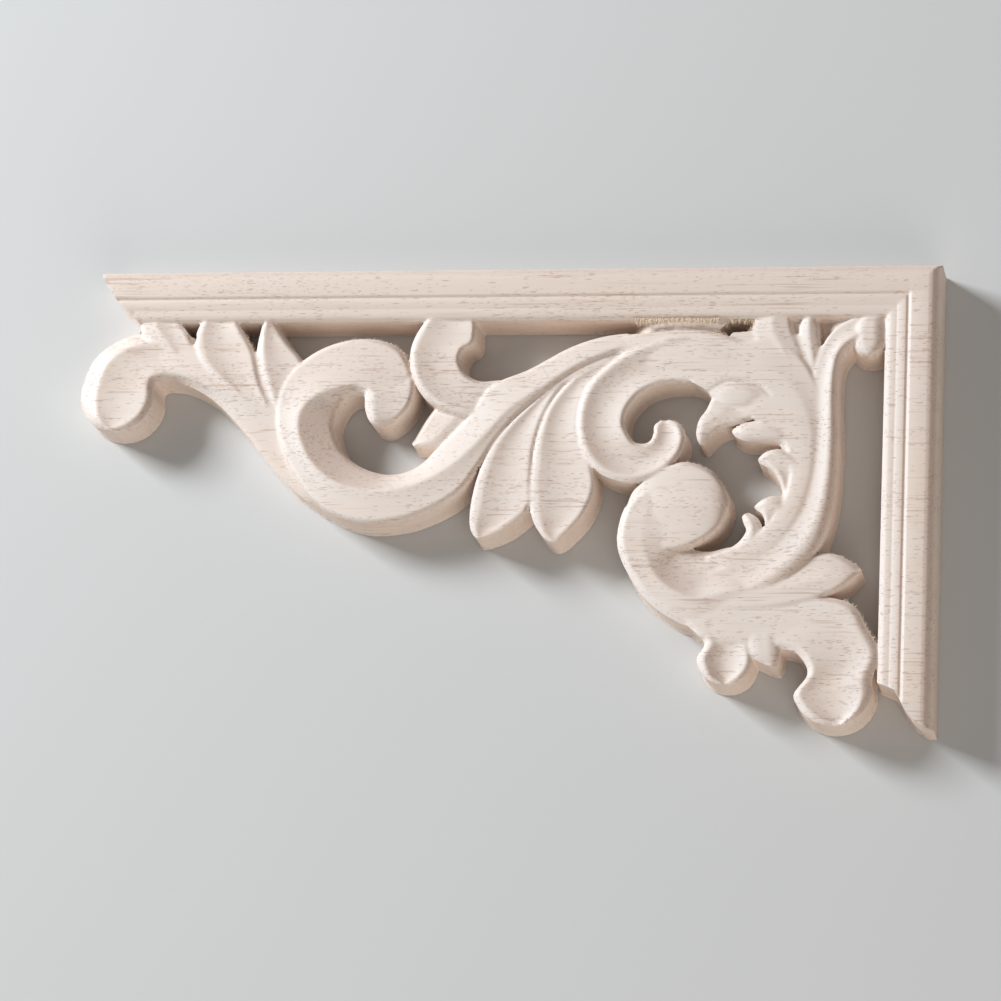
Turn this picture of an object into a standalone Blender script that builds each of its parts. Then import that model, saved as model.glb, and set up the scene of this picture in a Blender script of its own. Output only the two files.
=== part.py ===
"""Carved corner onlay: two moulded rails with pierced scrollwork in the angle.

One board lies flat on its back, face up. The long rail runs along -X and the
short rail along -Y. Their centre lines cross at the origin on the back face.
Sizes are in millimetres here and are turned into metres when a mesh is made.
"""
import math

import bmesh
import bpy
from mathutils import Vector

for old in list(bpy.data.objects):
    bpy.data.objects.remove(old, do_unlink=True)

MM = 0.001
# Board and rails
BOARD = 10.0
RAIL_WIDTH = 10.25
HALF = RAIL_WIDTH / 2
LONG_END = -153.2
SHORT_END = -81.6
# Below the back face the pads are left long and then cut off level
TAIL = 2.0
TAIL_STEP = 0.03
# Slab that cuts them off: centre, length, width and depth
SLAB_CENTRE = (-80.0, -40.0)
SLAB_SIZE = (400.0, 400.0, 20.0)
# Softened edge of a carved pad: its width, and the most of the pad's width that it takes
EDGE = 0.8
WIDEST_EDGE = 0.28
# Least share of the width on either side of the crest
LEAST_SIDE = 0.05
# Pads narrower than these are hollowed and rounded less
FULL_DISH_WIDTH = 7.0
FULL_FALL_WIDTH = 3.5
LEAST_FALL = 0.25
# Pads that end in a half disc, how far its rim drops, and the angles of its rows
ROUND_ENDS = {"volute": 0.5, "end_curl": 0.5, "foot_curl": 0.4, "stem_ball": 1.6}
ROUND_ANGLES = (28, 54, 76)
# Moulding of the rails: distance from the outer edge, height
RAIL_PROFILE = (
    (0.0, 6.6),
    (0.3, 8.2),
    (1.1, 9.5),
    (2.4, BOARD),
    (5.6, BOARD),
    (5.95, 9.3),
    (6.35, 9.8),
    (7.9, 9.55),
    (9.3, 9.3),
    (RAIL_WIDTH, 8.0),
)
# Ends of the rails: share of the rail's width from the outer edge, set-back
LONG_END_SHAPE = ((0.0, 0.0), (0.14, 0.5), (0.3, 1.3), (0.5, 2.8), (0.72, 5.0), (0.92, 7.2), (1.0, 7.9))
SHORT_END_SHAPE = ((0.0, 0.0), (0.19, 0.6), (0.34, 1.7), (0.51, 3.8), (0.68, 7.1), (0.8, 7.7), (1.0, 8.5))
WOOD_COLOUR = (0.78, 0.63, 0.49, 1.0)
WOOD_ROUGHNESS = 0.62

# Carved pads. Each is a strip between a left and a right edge:
# (left x, left y, right x, right y, crest height) at each station, which may
# also give its own crest position and the share of the drops and hollows.
# Shape of the strip: crest position across it, drop from the crest to the
# left and right shoulders, fall of the left and right edges, how deep the
# left and right sides are hollowed, steps per span.
PADS = {
    "volute": (
        (0.25, 1.1, 0.3, 0.7, 1.0, 0.0, 0.3, 2),
        (
            (-126.0, -12.0, -124.6, -21.3, 7.8),
            (-132.0, -8.8, -130.2, -18.6, 8.8),
            (-138.0, -7.0, -135.0, -16.4, 9.1),
            (-144.6, -6.8, -138.9, -15.8, 9.2),
            (-150.0, -8.6, -141.3, -16.2, 9.3),
            (-154.0, -12.2, -142.0, -17.4, 9.3),
            (-155.9, -17.8, -141.8, -19.8, 9.3),
        ),
    ),
    "leaf_bed": (
        (0.5, 0.1, 0.1, 0.1, 0.1, 0.0, 0.0, 1),
        (
            (-56.0, -9.6, -44.0, -12.0, 8.6),
            (-66.0, -16.6, -55.0, -21.0, 8.8),
            (-76.0, -27.0, -56.4, -29.0, 8.8),
            (-78.6, -36.0, -60.0, -35.0, 8.6),
            (-72.0, -41.4, -66.8, -41.4, 8.2),
        ),
    ),
    "branch_bed": (
        (0.5, 0.1, 0.1, 0.1, 0.1, 0.0, 0.0, 1),
        (
            (-38.4, -16.0, -33.0, -7.8, 8.8),
            (-33.6, -20.6, -22.0, -7.8, 8.8),
            (-26.0, -24.6, -14.6, -13.6, 8.8),
            (-22.6, -32.6, -14.2, -26.0, 8.8),
            (-23.6, -40.4, -14.6, -38.0, 8.8),
            (-28.4, -46.6, -18.0, -47.6, 8.6),
            (-36.6, -50.0, -24.0, -54.6, 8.4),
        ),
    ),
    "corner_bed": (
        (0.5, 0.1, 0.1, 0.1, 0.1, 0.0, 0.0, 1),
        (
            (-23.2, -4.4, -23.2, -11.0, 7.4),
            (-19.4, -4.4, -19.6, -11.4, 7.2),
            (-16.2, -4.4, -16.4, -11.6, 5.8),
            (-13.0, -4.4, -13.6, -10.0, 7.6),
            (-6.0, -4.4, -8.0, -8.0, 8.2),
        ),
    ),
    "groove_bed": (
        (0.5, 0.1, 0.1, 0.1, 0.1, 0.0, 0.0, 1),
        (
            (-51.0, -4.6, -53.0, -9.8, 3.6),
            (-49.0, -4.6, -50.4, -9.8, 6.8),
            (-44.0, -4.6, -44.0, -9.8, 8.0),
            (-33.4, -4.6, -38.4, -9.8, 7.6),
        ),
    ),
    "skirt": (
        (0.5, 0.2, 0.2, 0.3, 0.3, 0.0, 0.0, 1),
        (
            (-47.0, -51.0, -20.0, -50.6, 8.1),
            (-44.4, -57.0, -15.6, -56.0, 8.1),
            (-39.0, -61.8, -14.6, -61.4, 8.0),
            (-34.6, -66.2, -22.6, -65.8, 7.8),
        ),
    ),
    "web": (
        (0.62, 0.1, 1.5, 0.0, 0.7, 0.0, 0.1, 2),
        (
            (-148.0, -8.0, -141.2, -16.0, 8.4, 0.8),
            (-142.0, -8.5, -136.6, -16.5, 8.9, 0.8),
            (-134.0, -9.5, -130.6, -19.6, 9.1, 0.76),
            (-125.0, -10.5, -124.7, -25.3, 9.0, 0.62),
            (-116.0, -14.0, -119.0, -32.0, 8.6, 0.5),
            (-112.5, -24.0, -114.2, -37.0, 8.2, 0.5),
            (-107.5, -33.0, -108.6, -40.8, 7.6, 0.5),
        ),
    ),
    "leaflet_1": (
        (0.4, 0.3, 0.3, 0.8, 0.5, 0.0, 0.15, 2),
        (
            (-145.1, -4.0, -138.6, -4.0, 8.6),
            (-144.8, -6.8, -135.8, -7.2, 9.2),
            (-141.6, -10.0, -134.2, -10.4, 9.2),
            (-137.6, -13.0, -133.0, -14.0, 8.6),
        ),
    ),
    "leaflet_2": (
        (0.14, 0.1, 0.3, 0.6, 0.8, 0.0, 0.35, 2),
        (
            (-132.9, -4.0, -127.0, -4.0, 8.8),
            (-134.0, -7.4, -125.2, -7.0, 9.4),
            (-133.8, -10.8, -122.9, -11.0, 9.5),
            (-131.4, -14.4, -121.4, -16.4, 9.5),
            (-126.2, -18.6, -119.2, -21.6, 9.2),
        ),
    ),
    "leaflet_3": (
        (0.2, 0.5, 0.5, 0.8, 1.2, 0.0, 0.2, 2),
        (
            (-121.4, -4.0, -119.8, -4.4, 8.8),
            (-122.2, -9.2, -116.5, -9.1, 9.4),
            (-122.3, -13.2, -113.3, -13.0, 9.3),
            (-121.0, -17.2, -112.5, -18.0, 9.2),
            (-118.8, -22.0, -113.0, -22.5, 8.8),
        ),
    ),
    "big_scroll": (
        (0.5, 0.9, 2.1, 1.1, 1.1, 0.1, 0.0, 2),
        (
            (-92.4, -15.2, -99.4, -20.2, 9.4, 0.88, 0.4),
            (-94.9, -10.8, -101.3, -19.4, 9.6, 0.86, 0.5),
            (-99.4, -8.7, -102.8, -19.1, 9.7, 0.84, 0.5),
            (-105.6, -8.9, -104.2, -19.5, 9.8, 0.84, 0.6),
            (-111.4, -11.2, -105.5, -20.5, 9.9, 0.76, 0.8),
            (-116.2, -15.6, -106.6, -22.4, 9.9, 0.6, 1.0),
            (-118.0, -21.6, -107.1, -25.2, 9.9, 0.44, 1.0),
            (-116.9, -28.0, -106.0, -28.6, 9.9, 0.38, 1.0),
            (-113.9, -34.4, -103.9, -31.2, 9.9, 0.4, 1.0),
            (-109.0, -40.3, -100.9, -33.1, 9.9, 0.5, 1.0),
            (-101.6, -43.6, -97.0, -34.2, 9.9, 0.6, 1.0),
            (-94.0, -43.4, -93.3, -33.9, 9.9, 0.62, 0.9),
            (-87.6, -41.2, -90.0, -32.3, 9.9, 0.58, 0.8),
            (-82.4, -37.8, -87.2, -29.4, 9.9, 0.5, 0.7),
            (-78.9, -33.0, -84.2, -26.4, 9.9, 0.4, 0.6),
            (-75.8, -28.0, -80.9, -22.6, 9.9, 0.3, 0.5),
            (-72.0, -23.4, -77.6, -17.6, 9.9, 0.24, 0.45),
            (-66.6, -18.8, -70.6, -14.5, 9.8, 0.2, 0.4),
            (-60.8, -14.6, -62.4, -10.0, 9.6, 0.2, 0.35),
            (-53.0, -11.2, -54.7, -7.8, 9.2, 0.2, 0.3),
            (-45.0, -9.8, -45.5, -7.5, 8.8, 0.2, 0.3),
        ),
    ),
    "tongue": (
        (0.2, 0.3, 0.5, 0.9, 1.1, 0.0, 0.1, 2),
        (
            (-101.8, -15.0, -92.9, -12.8, 8.6),
            (-101.2, -19.0, -91.9, -17.2, 9.6),
            (-100.9, -22.2, -92.4, -20.8, 9.6),
            (-99.8, -24.6, -94.4, -23.6, 9.3),
            (-97.9, -25.5, -96.6, -25.3, 8.2),
        ),
    ),
    "small_scroll": (
        (0.12, 0.15, 0.5, 1.1, 1.2, 0.0, 0.3, 2),
        (
            (-89.6, -3.6, -81.2, -3.8, 9.0),
            (-92.0, -7.6, -81.0, -8.9, 9.4),
            (-93.0, -11.4, -83.0, -10.6, 9.6),
            (-92.4, -15.6, -83.6, -12.8, 9.6),
            (-90.4, -19.3, -82.2, -15.4, 9.5),
            (-87.0, -21.9, -79.6, -16.7, 9.3),
            (-82.6, -23.4, -76.0, -16.4, 9.0),
            (-78.4, -24.0, -72.4, -16.0, 8.4),
        ),
    ),
    "barb": (
        (0.55, 0.5, 0.5, 1.0, 0.6, 0.0, 0.0, 2),
        (
            (-87.4, -20.2, -78.6, -20.4, 7.4),
            (-89.4, -23.2, -81.4, -25.2, 7.8),
            (-91.0, -25.8, -86.0, -29.0, 7.4),
            (-92.5, -27.9, -91.6, -28.7, 6.2),
        ),
    ),
    "leaf_a": (
        (0.16, 0.15, 0.15, 0.5, 0.4, 0.0, 0.4, 2),
        (
            (-49.0, -9.6, -48.0, -12.0, 8.0),
            (-56.0, -12.0, -54.2, -13.4, 8.8),
            (-62.2, -15.2, -60.0, -15.6, 9.2),
            (-68.6, -20.4, -64.4, -18.0, 9.3),
            (-73.6, -25.0, -67.4, -23.6, 9.4),
            (-77.0, -29.4, -68.9, -29.6, 9.4),
            (-79.2, -35.4, -69.2, -35.4, 9.4),
            (-80.2, -41.0, -69.2, -40.4, 9.3),
            (-80.1, -44.6, -73.4, -44.4, 9.1),
            (-79.1, -46.5, -77.6, -46.3, 8.8),
        ),
    ),
    "leaf_b": (
        (0.14, 0.15, 0.15, 0.45, 0.5, 0.0, 0.4, 2),
        (
            (-48.5, -10.8, -47.5, -13.6, 8.0),
            (-55.6, -12.6, -53.4, -14.4, 8.8),
            (-61.6, -15.8, -58.0, -16.8, 9.2),
            (-66.4, -21.4, -60.4, -21.4, 9.3),
            (-68.4, -27.2, -60.6, -27.2, 9.4),
            (-69.2, -33.6, -58.2, -32.8, 9.4),
            (-69.3, -39.4, -57.5, -37.2, 9.4),
            (-68.4, -43.4, -59.2, -41.8, 9.3),
            (-66.8, -46.0, -62.4, -45.6, 9.1),
            (-65.2, -47.2, -64.3, -47.1, 8.8),
        ),
    ),
    "curl": (
        (0.12, 0.1, 0.3, 0.6, 0.8, 0.0, 0.6, 2),
        (
            (-32.0, -9.4, -34.6, -17.6, 8.0),
            (-41.0, -8.2, -41.0, -17.2, 9.3),
            (-48.0, -9.6, -45.8, -17.5, 9.6),
            (-54.2, -12.8, -49.6, -19.3, 9.8),
            (-59.2, -17.8, -51.9, -22.3, 9.9),
            (-61.0, -24.2, -52.4, -25.2, 9.9),
            (-59.8, -30.4, -51.4, -27.4, 9.9),
            (-56.2, -34.6, -50.4, -28.6, 9.7),
            (-51.0, -36.1, -49.2, -28.9, 9.6),
            (-46.0, -34.8, -48.0, -28.7, 9.5),
            (-42.4, -31.6, -47.2, -27.9, 9.4),
            (-41.2, -28.2, -46.9, -26.5, 9.1),
            (-41.9, -25.5, -46.9, -25.2, 8.7),
            (-43.6, -24.3, -46.0, -24.2, 8.0),
        ),
    ),
    "crown": (
        (0.4, 0.35, 0.2, 0.5, 0.0, 0.05, -0.1, 2),
        (
            (-60.0, -9.4, -58.6, -12.6, 7.6),
            (-54.6, -8.0, -52.4, -13.0, 8.9),
            (-47.0, -7.5, -46.4, -14.6, 9.3),
            (-38.4, -7.3, -39.4, -17.6, 9.5),
            (-31.2, -9.3, -34.0, -21.0, 9.55),
            (-24.8, -9.0, -28.6, -24.2, 9.55),
            (-19.4, -13.6, -24.0, -27.0, 9.5),
            (-16.2, -21.0, -21.8, -31.6, 9.4),
            (-15.4, -30.0, -22.0, -37.6, 9.3),
            (-16.8, -39.6, -25.2, -43.8, 9.2),
            (-20.6, -47.6, -30.4, -48.0, 8.9),
            (-27.6, -53.6, -36.4, -50.2, 8.4),
        ),
    ),
    "fan": (
        (0.5, 0.4, 0.4, 0.2, 0.35, 0.0, 0.0, 2),
        (
            (-28.2, -3.8, -22.6, -3.8, 8.8),
            (-29.2, -7.8, -22.0, -7.4, 9.3),
            (-26.0, -12.6, -20.0, -12.0, 9.3),
            (-22.6, -17.4, -18.6, -17.0, 8.9),
        ),
    ),
    "fan_tip": (
        (0.5, 0.4, 0.4, 0.35, 0.35, 0.0, 0.0, 2),
        (
            (-20.0, -3.8, -17.8, -3.8, 8.6),
            (-20.8, -7.6, -17.2, -7.8, 9.2),
            (-20.2, -12.0, -16.6, -11.6, 9.1),
            (-19.0, -16.4, -16.4, -16.0, 8.6),
        ),
    ),
    "stem": (
        (0.72, 0.8, 0.6, 0.3, 1.2, 0.3, -0.2, 2),
        (
            (-7.0, -4.8, -6.6, -9.0, 9.2),
            (-11.6, -5.4, -10.4, -10.2, 9.5),
            (-15.4, -8.2, -12.6, -12.4, 9.6),
            (-17.5, -12.9, -13.3, -15.6, 9.7),
            (-18.4, -19.4, -13.4, -20.4, 9.8),
            (-19.0, -27.2, -13.1, -28.0, 9.8),
            (-20.0, -34.2, -13.3, -36.4, 9.8),
            (-22.4, -40.8, -14.4, -43.6, 9.7),
            (-26.4, -46.6, -17.2, -49.8, 9.6),
            (-31.6, -50.8, -24.0, -56.0, 9.3),
            (-38.0, -53.4, -33.0, -60.0, 8.9),
        ),
    ),
    "stem_ball": (
        (0.5, 0.9, 0.9, 1.4, 1.4, -0.35, -0.35, 2),
        (
            (-10.4, -4.8, -4.4, -4.8, 8.8),
            (-11.4, -6.8, -4.6, -6.8, 9.5),
            (-11.4, -9.1, -4.6, -9.1, 9.6),
        ),
    ),
    "lobe_1": (
        (0.35, 0.15, 0.3, 0.5, 0.9, 0.0, 0.05, 2),
        (
            (-35.6, -17.6, -26.8, -20.0, 8.9),
            (-36.4, -20.4, -27.8, -23.2, 9.3),
            (-37.3, -22.6, -30.6, -24.9, 9.45),
            (-38.5, -24.4, -34.0, -25.6, 9.45),
            (-39.0, -26.2, -36.0, -26.8, 9.2),
            (-38.9, -27.8, -37.2, -28.2, 8.8),
            (-38.4, -28.8, -37.9, -28.9, 8.2),
        ),
    ),
    "lens": (
        (0.4, 0.35, 0.3, 0.5, 0.15, -0.1, -0.1, 2),
        (
            (-36.9, -19.3, -36.5, -20.0, 9.2),
            (-34.2, -17.9, -34.2, -21.4, 9.75),
            (-30.6, -17.6, -30.8, -21.8, 9.9),
            (-27.6, -18.6, -28.2, -21.2, 9.7),
            (-25.8, -20.1, -25.9, -20.6, 9.2),
        ),
    ),
    "lobe_2": (
        (0.5, 0.4, 0.3, 0.4, 1.0, -0.1, -0.1, 2),
        (
            (-32.6, -26.2, -32.3, -27.0, 8.5),
            (-31.2, -25.4, -30.6, -28.1, 9.3),
            (-28.0, -24.7, -27.8, -28.5, 9.6),
            (-24.0, -25.0, -24.6, -28.8, 9.5),
            (-20.4, -26.4, -21.4, -29.8, 8.9),
        ),
    ),
    "lobe_3": (
        (0.25, 0.3, 0.4, 0.6, 1.1, 0.0, 0.4, 2),
        (
            (-27.6, -31.7, -27.5, -32.3, 8.5),
            (-26.2, -30.5, -25.9, -33.2, 9.3),
            (-23.8, -30.0, -24.4, -34.5, 9.5),
            (-20.8, -30.9, -23.4, -36.4, 9.4),
            (-18.4, -33.4, -22.9, -38.4, 9.1),
            (-17.2, -37.0, -22.6, -40.4, 8.4),
        ),
    ),
    "lobe_4": (
        (0.3, 0.3, 0.3, 0.5, 0.8, 0.0, 0.25, 2),
        (
            (-28.0, -40.4, -27.8, -41.0, 8.3),
            (-26.4, -39.3, -26.6, -41.9, 9.1),
            (-24.4, -38.7, -26.0, -43.3, 9.3),
            (-21.8, -39.4, -26.2, -45.0, 9.1),
            (-19.4, -41.6, -27.0, -47.0, 8.4),
        ),
    ),
    "lobe_5": (
        (0.4, 0.3, 0.3, 0.8, 0.4, 0.0, 0.15, 2),
        (
            (-30.3, -42.3, -29.2, -41.6, 8.2),
            (-29.9, -43.6, -27.4, -42.8, 8.8),
            (-29.4, -45.2, -26.4, -44.8, 9.0),
            (-30.9, -47.3, -25.8, -47.2, 8.7),
            (-34.0, -49.0, -26.6, -50.8, 7.6),
        ),
    ),
    "great_scroll": (
        (0.34, 0.6, 1.6, 1.0, 0.3, 0.0, 0.3, 2),
        (
            (-24.0, -58.6, -24.6, -49.6, 9.1, 0.34, 1.0),
            (-32.0, -60.8, -31.4, -48.0, 9.3, 0.34, 1.0),
            (-39.2, -62.6, -36.4, -48.9, 9.4, 0.34, 1.0),
            (-46.2, -58.8, -40.4, -48.0, 9.6, 0.34, 0.9),
            (-50.6, -53.2, -42.4, -46.4, 9.7, 0.4, 0.3),
            (-52.8, -47.2, -43.4, -43.8, 9.7, 0.5, 0.1),
            (-51.4, -40.4, -42.8, -41.8, 9.6, 0.5, 0.1),
            (-47.2, -36.4, -41.6, -40.8, 9.2, 0.5, 0.1),
        ),
    ),
    "eye": (
        (0.5, 0.45, 0.45, 1.3, 1.5, 0.0, 0.0, 2),
        (
            (-51.6, -40.6, -51.4, -44.4, 8.0),
            (-50.1, -37.2, -49.8, -47.2, 8.9),
            (-46.4, -34.1, -46.0, -48.8, 9.6),
            (-41.4, -32.3, -41.6, -48.9, 9.9),
            (-36.8, -33.6, -37.4, -47.2, 9.9),
            (-34.0, -36.4, -34.4, -44.6, 9.6),
            (-32.7, -39.2, -32.8, -41.4, 8.8),
        ),
    ),
    "spur": (
        (0.6, 0.9, 0.1, 0.8, 1.2, 0.25, 0.0, 2),
        (
            (-40.0, -54.4, -40.0, -60.4, 8.8),
            (-30.0, -52.4, -30.2, -60.0, 9.1),
            (-21.0, -50.4, -21.6, -59.2, 9.3),
            (-14.4, -49.2, -14.6, -57.2, 9.3),
            (-10.2, -50.8, -11.0, -55.0, 9.1),
            (-8.5, -52.1, -8.7, -52.6, 8.4),
        ),
    ),
    "foot_face": (
        (0.5, 0.1, 0.1, 0.2, 0.2, 0.0, 0.0, 2),
        (
            (-46.0, -55.0, -45.2, -58.4, 8.6),
            (-38.0, -57.6, -39.6, -62.2, 8.8),
            (-30.0, -58.6, -35.6, -65.4, 8.9),
            (-22.0, -58.4, -26.0, -66.2, 8.9),
            (-14.0, -58.4, -21.4, -66.8, 8.9),
            (-10.6, -59.6, -18.0, -68.4, 8.8),
        ),
    ),
    "end_curl": (
        (0.13, 0.2, 0.5, 0.8, 0.9, 0.0, 0.8, 2),
        (
            (-26.0, -57.2, -30.6, -64.8, 8.4, 0.13, 0.1),
            (-18.0, -57.0, -24.6, -66.6, 8.9, 0.13, 0.1),
            (-10.2, -58.6, -20.4, -67.2, 9.2, 0.13, 0.2),
            (-7.2, -63.0, -18.2, -69.2, 9.3, 0.13, 0.4),
            (-4.8, -67.6, -17.6, -71.8, 9.4, 0.13, 0.8),
            (-6.0, -72.2, -19.9, -75.2, 9.4, 0.13, 1.0),
        ),
    ),
    "foot_curl": (
        (0.18, 0.2, 0.3, 0.8, 0.5, 0.0, 0.9, 2),
        (
            (-45.0, -58.2, -35.0, -56.6, 8.0, 0.3, 0.1),
            (-39.4, -62.7, -30.6, -61.2, 8.8, 0.25, 0.1),
            (-36.3, -65.8, -28.6, -64.8, 8.9, 0.18, 0.5),
            (-37.5, -68.6, -27.7, -68.6, 9.2, 0.14, 1.0),
        ),
    ),
    "foot_nub": (
        (0.5, 0.3, 0.3, 0.5, 0.6, -0.15, -0.15, 2),
        (
            (-31.0, -61.6, -22.0, -61.4, 8.4),
            (-29.0, -65.6, -22.6, -65.4, 9.0),
            (-28.0, -68.2, -22.7, -68.4, 9.0),
            (-25.0, -69.8, -23.2, -70.3, 8.4),
        ),
    ),
}


def blend(points, steps):
    """Run a smooth curve through the points, with equal steps in each span."""
    out = []
    last = len(points) - 1
    for i in range(last):
        p0 = points[max(i - 1, 0)]
        p1 = points[i]
        p2 = points[i + 1]
        p3 = points[min(i + 2, last)]
        for k in range(steps):
            t = k / steps
            out.append(tuple(
                0.5 * (2 * b + (c - a) * t + (2 * a - 5 * b + 4 * c - d) * t * t
                       + (3 * b - a - 3 * c + d) * t * t * t)
                for a, b, c, d in zip(p0, p1, p2, p3)))
    out.append(tuple(points[last]))
    return out


def round_off(stations, drop):
    """Add stations that finish a strip with a half disc across its last one."""
    lx, ly, rx, ry, crest, *rest = stations[-1]
    before = stations[-2]
    x, y = (lx + rx) / 2, (ly + ry) / 2
    arm_x, arm_y = (lx - rx) / 2, (ly - ry) / 2
    ahead_x, ahead_y = -arm_y, arm_x
    if ahead_x * (2 * x - before[0] - before[2]) + ahead_y * (2 * y - before[1] - before[3]) < 0:
        ahead_x, ahead_y = -ahead_x, -ahead_y
    rows = list(stations)
    for angle in ROUND_ANGLES:
        c = math.cos(math.radians(angle))
        s = math.sin(math.radians(angle))
        at_x, at_y = x + ahead_x * s, y + ahead_y * s
        left = (at_x + arm_x * c, at_y + arm_y * c)
        right = (at_x - arm_x * c, at_y - arm_y * c)
        rows.append((*left, *right, crest - drop * (1 - c) ** 2, *rest))
    return rows


def cross_section(row, shape):
    """Give one row of surface points across a strip, from left to right."""
    lx, ly, rx, ry, crest = row[:5]
    middle, drop_l, drop_r, fall_l, fall_r, dish_l, dish_r, _ = shape
    depth = 1.0
    if len(row) > 5:
        middle = row[5]
    if len(row) > 6:
        depth = min(max(row[6], 0.0), 1.0)
    width = math.hypot(rx - lx, ry - ly)
    soft = min(EDGE / width, WIDEST_EDGE)
    middle = min(max(middle, soft + LEAST_SIDE), 1 - LEAST_SIDE - soft)
    deep = depth * min(width / FULL_DISH_WIDTH, 1.0)
    steep = min(max(width / FULL_FALL_WIDTH, LEAST_FALL), 1.0)
    shoulder_l = crest - depth * drop_l
    shoulder_r = crest - depth * drop_r
    marks = (
        (0.0, shoulder_l - steep * fall_l),
        (soft, shoulder_l),
        ((soft + middle) / 2, (crest + shoulder_l) / 2 - deep * dish_l),
        (middle, crest),
        ((1 - soft + middle) / 2, (crest + shoulder_r) / 2 - deep * dish_r),
        (1 - soft, shoulder_r),
        (1.0, shoulder_r - steep * fall_r),
    )
    return [(lx + (rx - lx) * t, ly + (ry - ly) * t, z) for t, z in marks]


def add_loft(bm, rows, floor):
    """Build one closed pad from rows of surface points and a level floor."""
    tops = [[bm.verts.new(Vector(p) * MM) for p in row] for row in rows]
    feet = [[bm.verts.new(Vector((p[0], p[1], floor)) * MM) for p in row] for row in rows]
    last = len(rows) - 1
    side = len(rows[0]) - 1
    for i in range(last):
        for j in range(side):
            bm.faces.new((tops[i][j], tops[i + 1][j], tops[i + 1][j + 1], tops[i][j + 1]))
            bm.faces.new((feet[i][j], feet[i][j + 1], feet[i + 1][j + 1], feet[i + 1][j]))
        bm.faces.new((tops[i][0], feet[i][0], feet[i + 1][0], tops[i + 1][0]))
        bm.faces.new((tops[i][side], tops[i + 1][side], feet[i + 1][side], feet[i][side]))
    for j in range(side):
        bm.faces.new((tops[0][j], tops[0][j + 1], feet[0][j + 1], feet[0][j]))
        bm.faces.new((tops[last][j], feet[last][j], feet[last][j + 1], tops[last][j + 1]))
    bmesh.ops.recalc_face_normals(bm, faces=bm.faces[:])


def mesh_object(name, bm):
    """Turn the working mesh into an object in the scene."""
    mesh = bpy.data.meshes.new(name)
    bm.to_mesh(mesh)
    bm.free()
    obj = bpy.data.objects.new(name, mesh)
    bpy.context.scene.collection.objects.link(obj)
    return obj


def hide(obj):
    """Keep a working solid out of the picture."""
    obj.hide_render = True
    obj.display_type = "WIRE"
    return obj


def end_setback(share, shape):
    """Find how far the end of a rail stands back at a share of its width."""
    for (a, s0), (b, s1) in zip(shape, shape[1:]):
        if share <= b:
            return s0 + (s1 - s0) * (share - a) / (b - a)
    return shape[-1][1]


def rail_rows():
    """Rows of surface points of both rails, mitred at the corner."""
    depths = sorted({d for d, _ in RAIL_PROFILE} | {s * RAIL_WIDTH for s, _ in LONG_END_SHAPE})
    heights = []
    for d in depths:
        for (a, z0), (b, z1) in zip(RAIL_PROFILE, RAIL_PROFILE[1:]):
            if a <= d <= b:
                heights.append(z0 + (z1 - z0) * (d - a) / (b - a))
                break
    long_row = []
    corner_row = []
    short_row = []
    for d, z in zip(depths, heights):
        share = d / RAIL_WIDTH
        at = HALF - d
        long_row.append((LONG_END + end_setback(share, LONG_END_SHAPE), at, z))
        corner_row.append((at, at, z))
        short_row.append((at, SHORT_END + end_setback(share, SHORT_END_SHAPE), z))
    return [long_row, corner_row, short_row]


def slab_below():
    """Make the slab that cuts everything off level at the back face."""
    bm = bmesh.new()
    bmesh.ops.create_cube(bm, size=1.0)
    x, y, z = SLAB_SIZE
    bmesh.ops.scale(bm, verts=bm.verts[:], vec=(x * MM, y * MM, z * MM))
    bmesh.ops.translate(bm, verts=bm.verts[:], vec=(SLAB_CENTRE[0] * MM, SLAB_CENTRE[1] * MM, -z / 2 * MM))
    return mesh_object("below", bm)


def build():
    """Join the rails and all pads, cut them off level and give them their wood."""
    bm = bmesh.new()
    add_loft(bm, rail_rows(), -TAIL)
    onlay = mesh_object("corner_onlay", bm)
    pads = bpy.data.collections.new("pads")
    bpy.context.scene.collection.children.link(pads)
    for count, (name, (shape, stations)) in enumerate(PADS.items(), 1):
        if name in ROUND_ENDS:
            stations = round_off(stations, ROUND_ENDS[name])
        steps = shape[-1]
        rows = [cross_section(row, shape) for row in blend(stations, steps)]
        bm = bmesh.new()
        add_loft(bm, rows, -TAIL - TAIL_STEP * count)
        pad = hide(mesh_object("pad_" + name, bm))
        bpy.context.scene.collection.objects.unlink(pad)
        pads.objects.link(pad)
    join = onlay.modifiers.new("join", "BOOLEAN")
    join.operation = "UNION"
    join.solver = "EXACT"
    join.operand_type = "COLLECTION"
    join.collection = pads
    below = hide(slab_below())
    level = onlay.modifiers.new("level", "BOOLEAN")
    level.operation = "DIFFERENCE"
    level.solver = "EXACT"
    level.object = below
    wood = bpy.data.materials.new("pale_wood")
    wood.use_nodes = True
    shader = wood.node_tree.nodes["Principled BSDF"]
    shader.inputs["Base Color"].default_value = WOOD_COLOUR
    shader.inputs["Roughness"].default_value = WOOD_ROUGHNESS
    onlay.data.materials.append(wood)


build()
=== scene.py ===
"""Carved corner onlay in bare pale wood, dressed for a studio picture.

The carving is worked out as a height over the flat back, from the strips in
STRIPS. It is then laid on a fine grid, cut to the outline and closed with
walls and a back. The tables and numbers of the carving and of where fibres stand
are in millimetres; settings, marks in the wood and the studio are in metres.
"""
import functools
import math

import bmesh
import bpy
import numpy as np
from bpy.props import FloatProperty, FloatVectorProperty, IntProperty, PointerProperty
from mathutils import Matrix, Vector


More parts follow.
